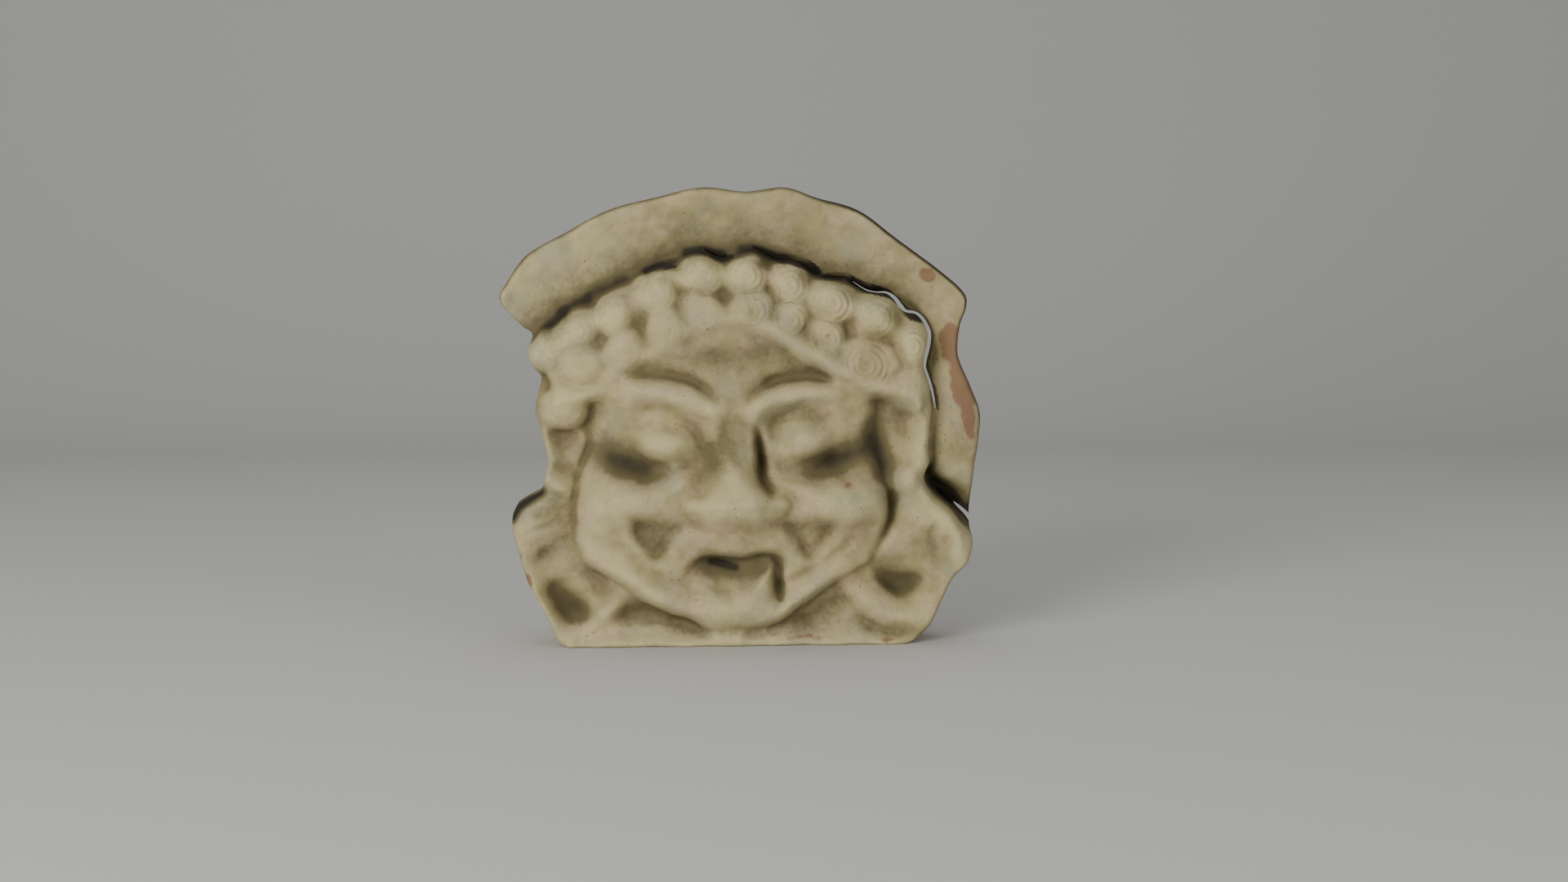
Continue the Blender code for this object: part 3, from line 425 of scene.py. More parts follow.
ear = {
    "rims": [([(-88.5, 103), (-88.5, 95), (-87, 87), (-87.5, 80)], 3.6, [0.8, 2.4, 2.6, 2.0]),
             ([(-71.4, 101), (-70.4, 95), (-70.9, 88.5)], 2.0, [0.8, 2.6, 0.4]),
             ([(-88.5, 79), (-83.8, 74.4), (-78, 71.8)], 2.8, [1.6, 3.2, 1.6]),
             ([(69, 113), (77, 120), (85, 119), (87.5, 109), (86.5, 98), (83.5, 88), (79, 80)], 5,
              [1.6, 3.2, 3.4, 2.4, 2.0, 2.0, 2.0])],
    "discs": [((-79.8, 110), (10.8, 10.2), 0, 33.5, 6, 0.7), ((78.6, 116), (10.5, 10), 0, 31, 6.5, 1.0),
              ((-80, 76), (9, 6), -20, 30, 3.5, 1.0), ((74.5, 77), (10, 8), 0, 30, 7, 1.0)],
    "discBlend": 3.0,
    # rings on the left disc: place, radius, width, rise
    "discRings": [((-79.8, 110), 8.0, 1.5, 0.5), ((-79.8, 110), 5.4, 1.5, -0.6),
                  ((-79.8, 110), 1.6, 2.4, 0.5)],
    "hollows": [((-79.7, 95.5), (7, 7), 0, -3.4), ((76.4, 101.5), (4.6, 8), 10, -2.4),
                ((-79.5, 84), (7.5, 6), 0, -2.4)],
    # grooves where the face meets what is beside it
    "faceEdges": [([(60, 108), (63, 100), (65, 91), (66.6, 82), (69.4, 72.5), (70.4, 65), (69.2, 57),
                    (66, 49.5), (61.5, 43)],
                   [9, 10, 9, 7.5, 5, 2.8, 2.2, 2.2, 2], [0.2, 1.6, 3.6, 5.0, 5, 8, 7, 4, 1]),
                  ([(-60, 112), (-65, 107), (-67.8, 101), (-69, 93), (-71, 83), (-74.5, 71), (-76.3, 60),
                    (-75.2, 51)],
                   [5, 4, 3, 2, 1.8, 1.8, 1.8, 1.8], [0.2, 0.8, 1.4, 1.8, 1.8, 2.0, 2.0, 0.8])],
}


def addEars(x, z, outside, level):
    for disc in ear["discs"]:
        level = np.where(outside > 0.5, upper(level, boss(x, z, *disc), ear["discBlend"]), level)
    level = addRows(level, roll, x, z, ear["rims"], outside)
    for place, radius, width, rise in ear["discRings"]:
        level = level + rise * np.exp(-((np.hypot(x - place[0], z - place[1]) - radius) / width) ** 2)
    level = addRows(level, swell, x, z, ear["hollows"], outside)
    return addRows(level, roll, x, z, ear["faceEdges"], -1)


lower = {
    "band": (9.5, 6.5, 3), "bandBlend": 4.0,  # height, rise, and slope above it
    "snakes": [([(-47, 26), (-54.5, 20.5), (-62, 14), (-71, 8)], [5, 5.5, 6, 6], [2.5, 4.5, 5, 3]),
               ([(-78, 4), (-88, 11), (-94, 24), (-98, 38), (-99, 50)], [8, 8, 7.5, 7.5, 8],
                [3, 6, 6, 5.5, 4]),
               ([(48, 30), (54, 24), (63, 18), (73, 14), (84, 15)], [5, 5.5, 5.5, 6, 7],
                [2, 4.5, 5, 5.5, 4]),
               ([(86, 8), (96, 18), (101.5, 32), (103, 45), (98, 57)], [8, 8, 8, 8, 8], [3, 6, 7, 7, 5])],
    "swells": [((-92, 57), (13, 11), 0, 3.5), ((90, 60), (13, 10), -30, 5), ((74, 52), (13, 16), 0, 5.5),
               ((-64, 28.5), (9, 5.5), -35, -2.8), ((75, 30), (10, 9), 0, -2.6)],
    "creases": [([(62, 38), (64.5, 32.5), (68, 27.6), (73.2, 24), (79, 25.6), (84.5, 31.8)],
                 [(84, 60), (62, 60)],
                 ([4, 6, 8, 9, 8, 5], [2, 2.4, 2.6, 2.6, 2.6, 2]), [0.5, 2.6, 4.6, 6.4, 5.2, 1.2])],
    "grooves": [([(-88, 31), (-84.4, 26.5), (-80, 20.5), (-74.5, 16), (-67, 13)], [4.4, 5, 5, 4.8, 4],
                 [1, 4.5, 8, 8, 1.5]),
                ([(-58.5, 10.5), (-49, 14.5), (-39, 14), (-25, 9.8), (-13.7, 6.7)], [4, 5.4, 5, 3.8, 2.4],
                 [1, 3.4, 3.4, 3.2, 0.6]),
                ([(24, 8.5), (31, 11.3), (40, 14.8), (49.5, 20)], [3, 4.6, 5, 3.6], [0.8, 3.0, 3.6, 1.6]),
                ([(53, 13), (61, 8.8), (69, 7), (79, 8)], [3, 3.4, 3.4, 2.8], [1, 3, 3, 0.8]),
                ([(93, 57), (89.6, 51.5), (90.5, 44.5), (91.3, 38.5)], 1.8, [0.8, 2.6, 2.6, 0.8]),
                ([(97.6, 51.5), (96, 47.5), (95, 43.5)], 1.5, [1, 2.4, 1]),
                ([(-96, 35), (-89, 41.5), (-81, 49)], 4, [1, 2.6, 1.2]),
                ([(-102, 49.5), (-93, 55), (-82, 60)], 1.9, [0.6, 1.4, 0.8]),
                ([(-104, 60), (-100, 65), (-94.5, 68.8), (-88, 72.5)], 2.6, [3, 8, 8, 3])],
    "strands": [([(-101, 53), (-91, 58), (-77, 63.5)], 2.6, [0.8, 1.6, 1]),
                ([(-102, 47.5), (-94, 51.5), (-84, 56.5)], 2.4, [0.6, 1.2, 0.8]),
                ([(92.5, 54.5), (96.5, 56.5), (100.5, 52.5), (101, 45.5), (97.5, 40), (93.5, 41.5)], 2.4,
                 [0.6, 1.4, 1.6, 1.6, 1.4, 0.6])],
}


def addLower(x, z, low, outside, level):
    level = addRows(level, roll, x, z, lower["snakes"] + lower["strands"], outside)
    level = addRows(level, swell, x, z, lower["swells"], outside)
    height, rise, slope = lower["band"]
    band = face["ground"][1] + rise * fade((height - z) / height) - slope * np.maximum(z - height, 0)
    level = level * (1 - outside * low) + upper(level, band, lower["bandBlend"]) * outside * low
    level = addRows(level, roll, x, z, lower["grooves"], -outside)
    return addRows(level, crease, x, z, lower["creases"], outside)


hair = {
    "line": [(-84, 107), (-76, 111.5), (-67.7, 113.5), (-60, 116.5), (-51.9, 123.8), (-42.7, 129.7),
             (-28, 137.7), (-16.9, 143.6), (-2.2, 146.5), (14.4, 141.7), (25.5, 134.3), (38.4, 128.7),
             (47.7, 122.4), (57.1, 117), (66.4, 114), (76, 113), (84, 106)],
    "headSide": [(100, 220), (-100, 220)], "lineFade": (-4, 3),  # corners that close the line over the hair
    "ground": 30.5, "rise": 6.8, "riseOver": 9, "fringe": 4.0, "fringeAt": 3.5, "fringeWidth": 6,
    "fringeRoll": ([(-12, 148), (-1, 149.3), (12.3, 146), (24, 140), (36, 133.5), (49, 124.5), (60, 119.5),
                    (72, 116)], 5,
                   [0.5, 1.8, 2.9, 3.5, 3.7, 3.4, 2.0, 0.5]),
    "fringeDrop": ([(-6, 144.5), (4, 142.3), (14, 138.6), (26, 131.6), (37, 126), (47, 119.8), (55, 115.5)],
                   [(55, 60), (-6, 60)],
                   (4.5, 2), [0.3, 1.0, 1.6, 1.8, 1.6, 1.2, 0.4]),
    "valleys": [(-60.3, 140.9), (-43.3, 148.3), (-22.2, 163), (-6.3, 161.9), (11.1, 164.1), (22.3, 157.5),
                (51, 145.6), (68.3, 137)],
    "valley": ((5.2, 5.2), 0, -2.4),
    # dips in the outer edge of the hair, between neighbouring curls
    "dips": [(-82, 146.5), (-67.5, 157), (-49, 166.5), (-27.5, 175.5), (-6.5, 177), (13.5, 175.5),
             (33.5, 168.5), (53, 162), (73.5, 151)],
    "dip": ((4.6, 4.6), 0, -6.0),
    "tops": (41.6, 43.4),  # outer row, inner row
    # curls: across, up, radius, how clearly the spiral shows
    "outerRow": [(-85.9, 135.2, 8.6, 0.3), (-73.4, 145.4, 9.4, 0.3), (-57.5, 151.6, 9.4, 0.3),
                 (-37.6, 162, 10.2, 0.4), (-16, 170.3, 10.4, 0.5), (3.5, 169.8, 9.8, 0.8),
                 (22.6, 165.4, 9.6, 0.9), (42.2, 157.3, 11, 1.0), (61.6, 150.6, 10.4, 0.7),
                 (78.2, 137.8, 8, 1.0)],
    "innerRow": [(-70.2, 128.6, 9, 0.2), (-51.8, 135.2, 9.6, 0.3), (-32.4, 144.3, 10, 0.3),
                 (-16.2, 152.4, 9.2, 0.4), (4.6, 154.2, 9.8, 0.9), (22.8, 149.6, 9, 0.8),
                 (39.3, 141.6, 8.6, 0.8), (57.6, 129.6, 12.6, 1.2)],
    "curlRise": 4.8, "power": 0.66, "blend": 3.4, "dimple": (0.9, 0.2),
    "oval": 0.09, "ovalTurn": 50,  # each curl is a little oval, and turned this much from the one before
    "curlReach": 8,  # how far beyond its radius a curl is worked out
}


def addCurls(x, z, level):
    # each curl is a boss with a small dimple at its middle; the rings of its spiral are in the clay finish
    depth, share = hair["dimple"]
    for row, top in zip((hair["outerRow"], hair["innerRow"]), hair["tops"]):
        for number, (across, up, radius, _) in enumerate(row):
            far = radius + hair["curlReach"]
            near = (np.abs(x - across) < far) & (np.abs(z - up) < far)
            nx, nz = x[near], z[near]
            radii = (radius * (1 + hair["oval"]), radius * (1 - hair["oval"]))
            turn = hair["ovalTurn"] * number
            dome = boss(nx, nz, (across, up), radii, turn, top - hair["curlRise"], hair["curlRise"],
                        hair["power"])
            dimple = depth * np.exp(-(np.hypot(nx - across, nz - up) / (share * radius)) ** 2)
            level[near] = upper(level[near], dome, hair["blend"]) - dimple
    return level


def addHair(x, z, fromEdge, level):
    # ground that rises from the hood, a roll along the forehead, then curls and the hollows between
    fromLine, _ = sideOf(x, z, hair["line"], hair["headSide"])
    fringe = hair["fringe"] * np.exp(-((fromLine - hair["fringeAt"]) / hair["fringeWidth"]) ** 2)
    ground = hair["ground"] + hair["rise"] * fade(fromEdge / hair["riseOver"]) + fringe
    isHair = between(fromLine, *hair["lineFade"])
    level = level * (1 - isHair) + ground * isHair + roll(x, z, *hair["fringeRoll"])
    level = level + crease(x, z, *hair["fringeDrop"])
    level = addRows(level, swell, x, z, [(place, *hair["valley"]) for place in hair["valleys"]])
    level = addCurls(x, z, level)
    return addRows(level, swell, x, z, [(place, *hair["dip"]) for place in hair["dips"]])


def levelAt(x, z):  # how far the carved front stands forward of the back plane
    out = np.abs(x - middle)
    plain, fromEdge, wall, groove = hoodLevel(x, z)
    level, low, outside = faceLevel(x, z)
    level = addBrow(x, z, out, level)
    level = addEyes(out, z, level)
    level = addNose(x, z, level)
    level = addMouth(x, z, out, level)
    level = addEars(x, z, outside, level)
    level = addLower(x, z, low, outside, level)
    level = addHair(x, z, fromEdge, level)
    level = plain * (1 - wall) + np.maximum(level, plain) * wall
    level = level - groove * (1 - between(level, *hood["grooveGone"]))
    return level - roll(x, z, *hood["notch"]) * between(level, *hood["notchFrom"])


# Wear: the carving is worked out once on a fine raster, softened, and read off where a surface needs it
wear = {
    "step": 0.5, "margin": 9, "blur": 0.85, "crestReach": 2.6, "crestLoss": 0.3,
    # waves summed for one field of lumps, shortest and longest for a spacing of 1
    "waves": 14, "waveSpread": (0.7, 1.5),
    "warps": [(38, 0.9), (15, 0.3)],  # spacing and size of the sideways drift of the modelling
    "warpSeeds": (41, 42),
    # hand-pressed lumps: spacing, height, seed
    "unevenness": [(20, 0.55, 0), (9, 0.30, 1), (3.6, 0.12, 2)],
    # how far round a point to compare, and its share
    "hollowReaches": [(2.5, 0.7), (6.0, 0.8), (13.0, 0.9)],
}


def lumps(places, spacing, seed):
    # sum of cosine waves with seeded directions and lengths near the spacing, over the root of their number
    count = wear["waves"]
    rng = np.random.default_rng(seed)
    ways = rng.normal(size=(count, places.shape[-1]))
    ways /= np.linalg.norm(ways, axis=1, keepdims=True)
    ways *= 2 * np.pi / (spacing * rng.uniform(*wear["waveSpread"], size=(count, 1)))
    phases = rng.uniform(0, 2 * np.pi, count)
    return np.cos(places @ ways.T + phases).sum(axis=-1) / math.sqrt(count)


def lumpy(places, rows):  # several fields of lumps added up
    return sum(height * lumps(places, spacing, seed) for spacing, height, seed in rows)


def softened(field, radius):
    # each point becomes the mean of its neighbours, weighted by a bell curve radius millimetres wide
    pad = int(3 * radius / wear["step"]) + 1
    wide = np.pad(field, pad, mode="edge")
    waveX = np.fft.rfftfreq(wide.shape[1])[None, :]
    waveZ = np.fft.fftfreq(wide.shape[0])[:, None]
    bell = np.exp(-2 * (np.pi * radius / wear["step"]) ** 2 * (waveX ** 2 + waveZ ** 2))
    return np.fft.irfft2(np.fft.rfft2(wide) * bell, s=wide.shape)[pad:-pad, pad:-pad]


def carvedRaster():
    # worn level: softened carving, less a share of what stands above its surroundings;
    # hollow: how far a point lies below its surroundings, over their reach
    half = drawing["width"] / 2 + wear["margin"]
    xs = np.arange(-half, half, wear["step"])
    zs = np.arange(-wear["margin"], drawing["height"] + wear["margin"], wear["step"])
    x, z = np.meshgrid(xs, zs)
    spots = np.stack([x, z], axis=-1)
    drifts = [lumpy(spots, [(*warp, seed) for warp in wear["warps"]]) for seed in wear["warpSeeds"]]
    level = levelAt(x + drifts[0], z + drifts[1])
    for spacing, height, seed in wear["unevenness"]:
        level = level + height * lumps(spots, spacing, seed)
    level = softened(level, wear["blur"])
    proud = level - softened(level, wear["crestReach"])
    level = level - wear["crestLoss"] * np.maximum(proud, 0)
    hollow = sum(share * (softened(level, radius) - level) / radius for radius,
                 share in wear["hollowReaches"])
    return {"x0": xs[0], "z0": zs[0], "level": level, "hollow": hollow}


def readRaster(raster, name, x, z):  # value between the four raster points round (x, z)
    field = raster[name]
    column = np.clip((x - raster["x0"]) / wear["step"], 0, field.shape[1] - 1.001)
    row = np.clip((z - raster["z0"]) / wear["step"], 0, field.shape[0] - 1.001)
    i, j = row.astype(int), column.astype(int)
    up, across = row - i, column - j
    below = field[i, j] * (1 - across) + field[i, j + 1] * across
    above = field[i + 1, j] * (1 - across) + field[i + 1, j + 1] * across
    return below * (1 - up) + above * up


raster = carvedRaster()
scale = {
    "x": (highCorner[0] - lowCorner[0]) / drawing["width"],
    "y": (plate["backPlane"] - lowCorner[1]) / raster["level"].max(),
    "z": highCorner[2] / drawing["height"],
}
print("carving worked out on", raster["level"].shape, "points")


# Outline of the whole piece, counterclockwise from the left end of the straight base
outline = [
    (-78, 0), (-60, 0), (-20, 0), (20, 0), (60, 0), (75, 0), (81.8, 2.3), (87.6, 8), (93.2, 19.4),
    (98.9, 30.8), (106.2, 39.2), (109.6, 55.2), (109.8, 73.7), (112.7, 98.6), (112.3, 108.1),
    (107.6, 119.6), (102.1, 132.9), (103.2, 146.2), (106.2, 155.7), (104.7, 162.2), (93.9, 172),
    (74.8, 186), (55.7, 199.8), (36.8, 205.4), (21.6, 210.2), (3.5, 208.2), (-16, 210.1), (-38.5, 205.2),
    (-59.1, 199.6), (-79.7, 188.7), (-90.9, 182.7), (-98.4, 177.1), (-105.2, 167), (-109, 159.2),
    (-104.2, 152.1), (-98.7, 146.5), (-94.2, 142.7), (-95.4, 135.4), (-92.9, 128), (-89.6, 123.5),
    (-91.9, 113.1), (-92.3, 107.5), (-89.5, 98), (-87, 86.5), (-89, 75.3), (-90.4, 71.2), (-96.6, 67.6),
    (-101.6, 64), (-103.4, 57.1), (-100.1, 42.1), (-96.1, 30), (-86.2, 10.2), (-83.2, 3.3),
]


def outlineAt(turn):  # place on the smooth outline, with turn going from 0 to 4 once round
    curve = smoothPath(outline + outline[:1], 8)
    curve[:, 1] = np.maximum(curve[:, 1], 0)
    passed = np.r_[0, np.cumsum(np.hypot(*np.diff(curve, axis=0).T))]
    wanted = (turn % 4) / 4 * passed[-1]
    return np.stack([np.interp(wanted, passed, curve[:, 0]), np.interp(wanted, passed, curve[:, 1])],
                    axis=-1)


def nestedGrid(cells, inset):
    # square grid whose nested squares become the outline shrunk towards the heart by each square's share
    u, v = np.meshgrid(np.linspace(-1, 1, cells + 1), np.linspace(-1, 1, cells + 1))
    share = np.maximum(np.abs(u), np.abs(v))
    a, b = u / np.maximum(share, 1e-9), v / np.maximum(share, 1e-9)
    turn = np.select([b <= -1, a >= 1, b >= 1], [(a + 1) / 2, 1 + (b + 1) / 2, 2 + (1 - a) / 2],
                     3 + (1 - b) / 2)
    spoke = outlineAt(turn) - plate["heart"]
    length = np.linalg.norm(spoke, axis=-1)
    places = plate["heart"] + share[..., None] * spoke * (1 - inset / length)[..., None]
    return places, (1 - share) * length


def rimOf(cells):  # indices of a grid's border, counterclockwise from its lower left corner
    index = np.arange((cells + 1) ** 2).reshape(cells + 1, cells + 1)
    return np.concatenate([index[0, :-1], index[:-1, -1], index[-1, :0:-1], index[:0:-1, 0]])


def gridFaces(rows, columns):
    index = np.arange((rows + 1) * (columns + 1)).reshape(rows + 1, columns + 1)
    return np.stack([index[:-1, :-1], index[:-1, 1:], index[1:, 1:], index[1:, :-1]], axis=-1).reshape(-1,
                                                                                                       4)


def frontSurface():
    # level of the worn carving, rolled over by a quarter round along the rim
    places, toRim = nestedGrid(plate["fineness"], 0)
    level = readRaster(raster, "level", places[..., 0], places[..., 1])
    near = np.clip(toRim / plate["rimRounding"], 0, 1)
    level = level - plate["rimRounding"] * (1 - np.sqrt(1 - (1 - near) ** 2))
    return places, level


def backSurface():
    # flat, less a dish of depth times (1 minus reach cubed), plus a fillet of clay along the tile's joint
    places, _ = nestedGrid(plate["fineness"] // 2, plate["backRounding"])
    x, z = places[..., 0] * scale["x"], places[..., 1] * scale["z"]
    level = readRaster(raster, "level", places[..., 0], places[..., 1]) * scale["y"]
    radius = np.hypot(x, np.maximum(z - tile["centreHeight"], 0))
    fromAxis = np.hypot(x, z - tile["centreHeight"])
    inner = tile["outerRadius"] - tile["wall"]
    halfWall = tile["wall"] / 2
    dish = plate["hollowDepth"] * (1 - np.clip(fromAxis / (inner - plate["hollowLedge"]), 0, 1) ** 3)
    dish = np.minimum(dish, np.maximum(level - plate["faceWall"], 0))
    gap = np.maximum(np.abs(radius - inner - halfWall) - halfWall, 0)
    rise, width = plate["jointFillet"]
    fillet = rise * np.exp(-gap / width) * fade(z / plate["filletFrom"])
    low, inside = plate["backCalm"]
    rough = lumpy(np.stack([x, z], axis=-1) * 1000, plate["backLumps"])
    rough = rough * fade(z / low) * fade((radius - inner) / inside + 2)
    return places, dish - fillet - np.minimum(rough, plate["backLumpMost"])


def placed(places, depth):
    # drawing places and a depth in metres forward of the back plane, as world points
    x, z = places[..., 0] * scale["x"], places[..., 1] * scale["z"]
    return np.stack([x, plate["backPlane"] - depth, z], axis=-1)


def sideRings(frontPlaces, frontLevel):
    # rows from the front rim straight back, then round the back edge, with low lumps left by trimming
    rows, bend = plate["sideRows"], plate["bendRows"]
    rounding = plate["backRounding"]
    spacing, height, seed = plate["sideLumps"]
    calm = fade(frontPlaces[:, 1] / plate["sideCalm"])
    rings = []
    for row in range(1, rows):
        quarter = max(row - rows + bend, 0) / bend * math.pi / 2
        run = min(row / (rows - bend), 1)
        depth = frontLevel * (1 - run) + rounding * run
        depth = np.where(run < 1, depth, rounding * (1 - math.sin(quarter)))
        inset = rounding * (1 - math.cos(quarter))
        uneven = lumps(np.column_stack([frontPlaces, depth]), spacing, seed)
        inset = inset + height * uneven * math.sin(math.pi * row / rows) * calm
        spoke = frontPlaces - plate["heart"]
        length = np.linalg.norm(spoke, axis=1)
        rings.append(placed(frontPlaces - spoke * (inset / length)[:, None], depth * scale["y"]))
    return rings


def newPiece(name, points, faces):
    mesh = bpy.data.meshes.new(name)
    mesh.from_pydata(points.tolist(), [], faces)
    mesh.validate()
    piece = bpy.data.objects.new(name, mesh)
    bpy.context.collection.objects.link(piece)
    return piece


def headAndPlate():
    # front grid, back grid at half its fineness, and the rings of the side between their borders
    cells = plate["fineness"]
    frontPlaces, frontLevel = frontSurface()
    backPlaces, backDepth = backSurface()
    frontRim = rimOf(cells)
    rings = sideRings(frontPlaces.reshape(-1, 2)[frontRim], frontLevel.ravel()[frontRim])
    front = placed(frontPlaces, frontLevel * scale["y"]).reshape(-1, 3)
    back = placed(backPlaces, backDepth).reshape(-1, 3)
    points = np.vstack([front, back, *rings])
    backStart = len(front)
    ringStart = backStart + len(back)
    backRim = rimOf(cells // 2) + backStart
    count = len(frontRim)
    loops = [frontRim] + [ringStart + i * count + np.arange(count) for i in range(len(rings))]
    faces = gridFaces(cells, cells).tolist()
    faces += (gridFaces(cells // 2, cells // 2)[:, ::-1] + backStart).tolist()
    for near, far in zip(loops[:-1], loops[1:]):
        faces += np.stack([np.roll(near, -1), near, far, np.roll(far, -1)], axis=1).tolist()
    fine, coarse = loops[-1], backRim
    first, second, third = fine[0::2], fine[1::2], np.roll(fine, -2)[0::2]
    beyond = np.roll(coarse, -1)
    faces += np.stack([second, first, coarse], axis=1).tolist()
    faces += np.stack([second, coarse, beyond], axis=1).tolist()
    faces += np.stack([third, second, beyond], axis=1).tolist()
    return newPiece("antefixVisual", points, faces)


def tubeFaces(index):  # walls of a tube whose sections are the rows of index, and its two ends
    beside = np.roll(index, -1, axis=1)
    walls = np.stack([index[:-1], beside[:-1], beside[1:], index[1:]], axis=-1).reshape(-1, 4)
    return walls.tolist() + [index[0, ::-1].tolist(), index[-1].tolist()]


def tileRoot():
    # rounded-rectangle section of the wall carried along a stilted arch: a leg, half a circle and a leg
    radius = tile["outerRadius"] - tile["wall"] / 2
    leg = tile["centreHeight"]
    way = np.linspace(0, 2 * leg + math.pi * radius, tile["pathSteps"] + 1)
    turn = np.clip((way - leg) / radius, 0, math.pi)
    drop = np.where(way < leg, leg - way, np.maximum(way - leg - math.pi * radius, 0))
    outwards = np.stack([-np.cos(turn), np.sin(turn)], axis=1)
    centre = outwards * radius + np.stack([0 * way, leg - drop + tile["foot"]], axis=1)
    arris = tile["arris"]
    halfWall = tile["wall"] / 2
    start, end = plate["backPlane"] - tile["embed"], plate["backPlane"] + tile["length"]
    bend = np.linspace(0, math.pi / 2, tile["cornerSteps"])
    run = np.linspace(start, end - arris, tile["sideSteps"])[:-1]
    side = np.column_stack([np.full(len(run), halfWall), run])
    corner = np.column_stack([halfWall - arris + arris * np.cos(bend), end - arris + arris * np.sin(bend)])
    over = np.linspace(halfWall - arris, arris - halfWall, tile["cutSteps"] + 1)[1:-1]
    cut = np.column_stack([over, np.full(len(over), end)])
    over = np.linspace(-halfWall, halfWall, tile["insideSteps"] + 1)[1:-1]
    inside = np.column_stack([over, np.full(len(over), start)])
    section = np.vstack([side, corner, cut, (corner * [-1, 1])[::-1], (side * [-1, 1])[::-1], inside])
    away, y = section[:, 0], section[:, 1]
    points = np.stack([
        centre[:, None, 0] + outwards[:, None, 0] * away,
        np.broadcast_to(y, (len(way), len(y))),
        centre[:, None, 1] + outwards[:, None, 1] * away,
    ], axis=-1)
    atEnd, atFoot = tile["calm"]
    rough = lumpy(points * 1000, tile["lumps"]) * fade((end - y) / atEnd) * fade(points[..., 2] / atFoot)
    side = np.sign(away) * (np.abs(away) > halfWall - 1e-6)
    points[..., 0] += outwards[:, None, 0] * rough * side
    points[..., 2] += outwards[:, None, 1] * rough * side
    index = np.arange(len(way) * len(section)).reshape(len(way), len(section))
    return newPiece("tileRoot", points.reshape(-1, 3), tubeFaces(index))


def turnOutwards(piece):  # flips every face if the enclosed volume comes out negative
    mesh = piece.data
    mesh.calc_loop_triangles()
    corners = np.empty(len(mesh.loop_triangles) * 3, np.int32)
    mesh.loop_triangles.foreach_get("vertices", corners)
    points = np.empty(len(mesh.vertices) * 3)
    mesh.vertices.foreach_get("co", points)
    a, b, c = points.reshape(-1, 3)[corners.reshape(-1, 3)].transpose(1, 0, 2)
    if np.einsum("ij,ij->i", a, np.cross(b, c)).sum() < 0:
        mesh.flip_normals()


def applyBoolean(body, other, operation):  # exact, and applied at once; the other piece is used up
    turnOutwards(other)
    modifier = body.modifiers.new("boolean", "BOOLEAN")
    modifier.operation = operation
    modifier.solver = "EXACT"
    modifier.object = other
    result = bpy.data.meshes.new_from_object(body.evaluated_get(bpy.context.evaluated_depsgraph_get()))
    body.modifiers.clear()
    body.data = result
    bpy.data.objects.remove(other)
    result.shade_smooth()


# Cracks and crevices: path in drawing places, widths, and how far back the cut goes in metres
cracks = {
    "front": -0.058,
    "plane": 0.002,  # depth at which the paths are drawn
    # every cut is a wedge of lines from one place: the through cracks are seen straight through from it,
    # and the blind crevices are aimed from higher up, so they run down under the curls and stay dark
    "from": {"blind": (-0.049, -1.01, 0.42), "through": (-0.049, -1.01, 0.164)},
    "blind": [
        ([(7.5, 182.6), (12.6, 180.6), (16.4, 178.7), (20.3, 177.3), (26, 176.4), (31.7, 174.9),
          (36.3, 172), (38.6, 170.4)],
         [0.3, 1.6, 2.0, 3.0, 4.0, 4.0, 3.2, 0.8], 0.0125),
        ([(39.7, 169.1), (45, 169.4), (50.8, 169.1), (55, 166.6), (60.4, 164), (66.1, 162.4), (70.7, 160.8),
          (73.4, 157.6)],
         [0.6, 2.2, 2.2, 3.0, 3.8, 3.8, 3.0, 0.4], 0.0125),
        ([(75.2, 154), (79.8, 151.4), (84.8, 148.8)], [0.6, 3.6, 0.6], 0.0125),
        ([(-42, 171.2), (-38, 173), (-33.5, 174.0), (-29, 173.4)], [0.3, 1.8, 2.1, 0.4], 0.010),
        ([(-15, 181.2), (-10.3, 179.3), (-6.5, 177.9), (-2.6, 178.6)], [0.3, 2.2, 2.2, 0.4], 0.010),
        ([(93, 73), (96.2, 70), (100.6, 66.8), (104, 64.2)], [0.6, 4.2, 5.0, 2.4], 0.014),
    ],
    "through": [
        ([(54, 167.0), (59.8, 163.4), (64.8, 162.2), (69.4, 162.0), (73.3, 159.6), (76.4, 155.6),
          (78.7, 153.5), (83.3, 152.5), (86.4, 150), (89.1, 145.4), (89.9, 141.6), (89.2, 136.2),
          (88, 130.9), (87.8, 127), (89.2, 122.8), (90.8, 117.8), (92, 112.4), (92.8, 107.8)],
         [0.2, 0.5, 0.5, 0.9, 1.6, 2.0, 1.3, 1.2, 1.5, 1.6, 1.6, 1.6, 1.4, 1.1, 1.1, 1.2, 1.0, 0.3], 0.028),
        ([(101.6, 64), (104, 61.9), (107.4, 58.7), (110.5, 54.9), (115, 49.4)], [0.3, 1.2, 1.8, 2.4, 2.8],
         0.028),
    ],
}


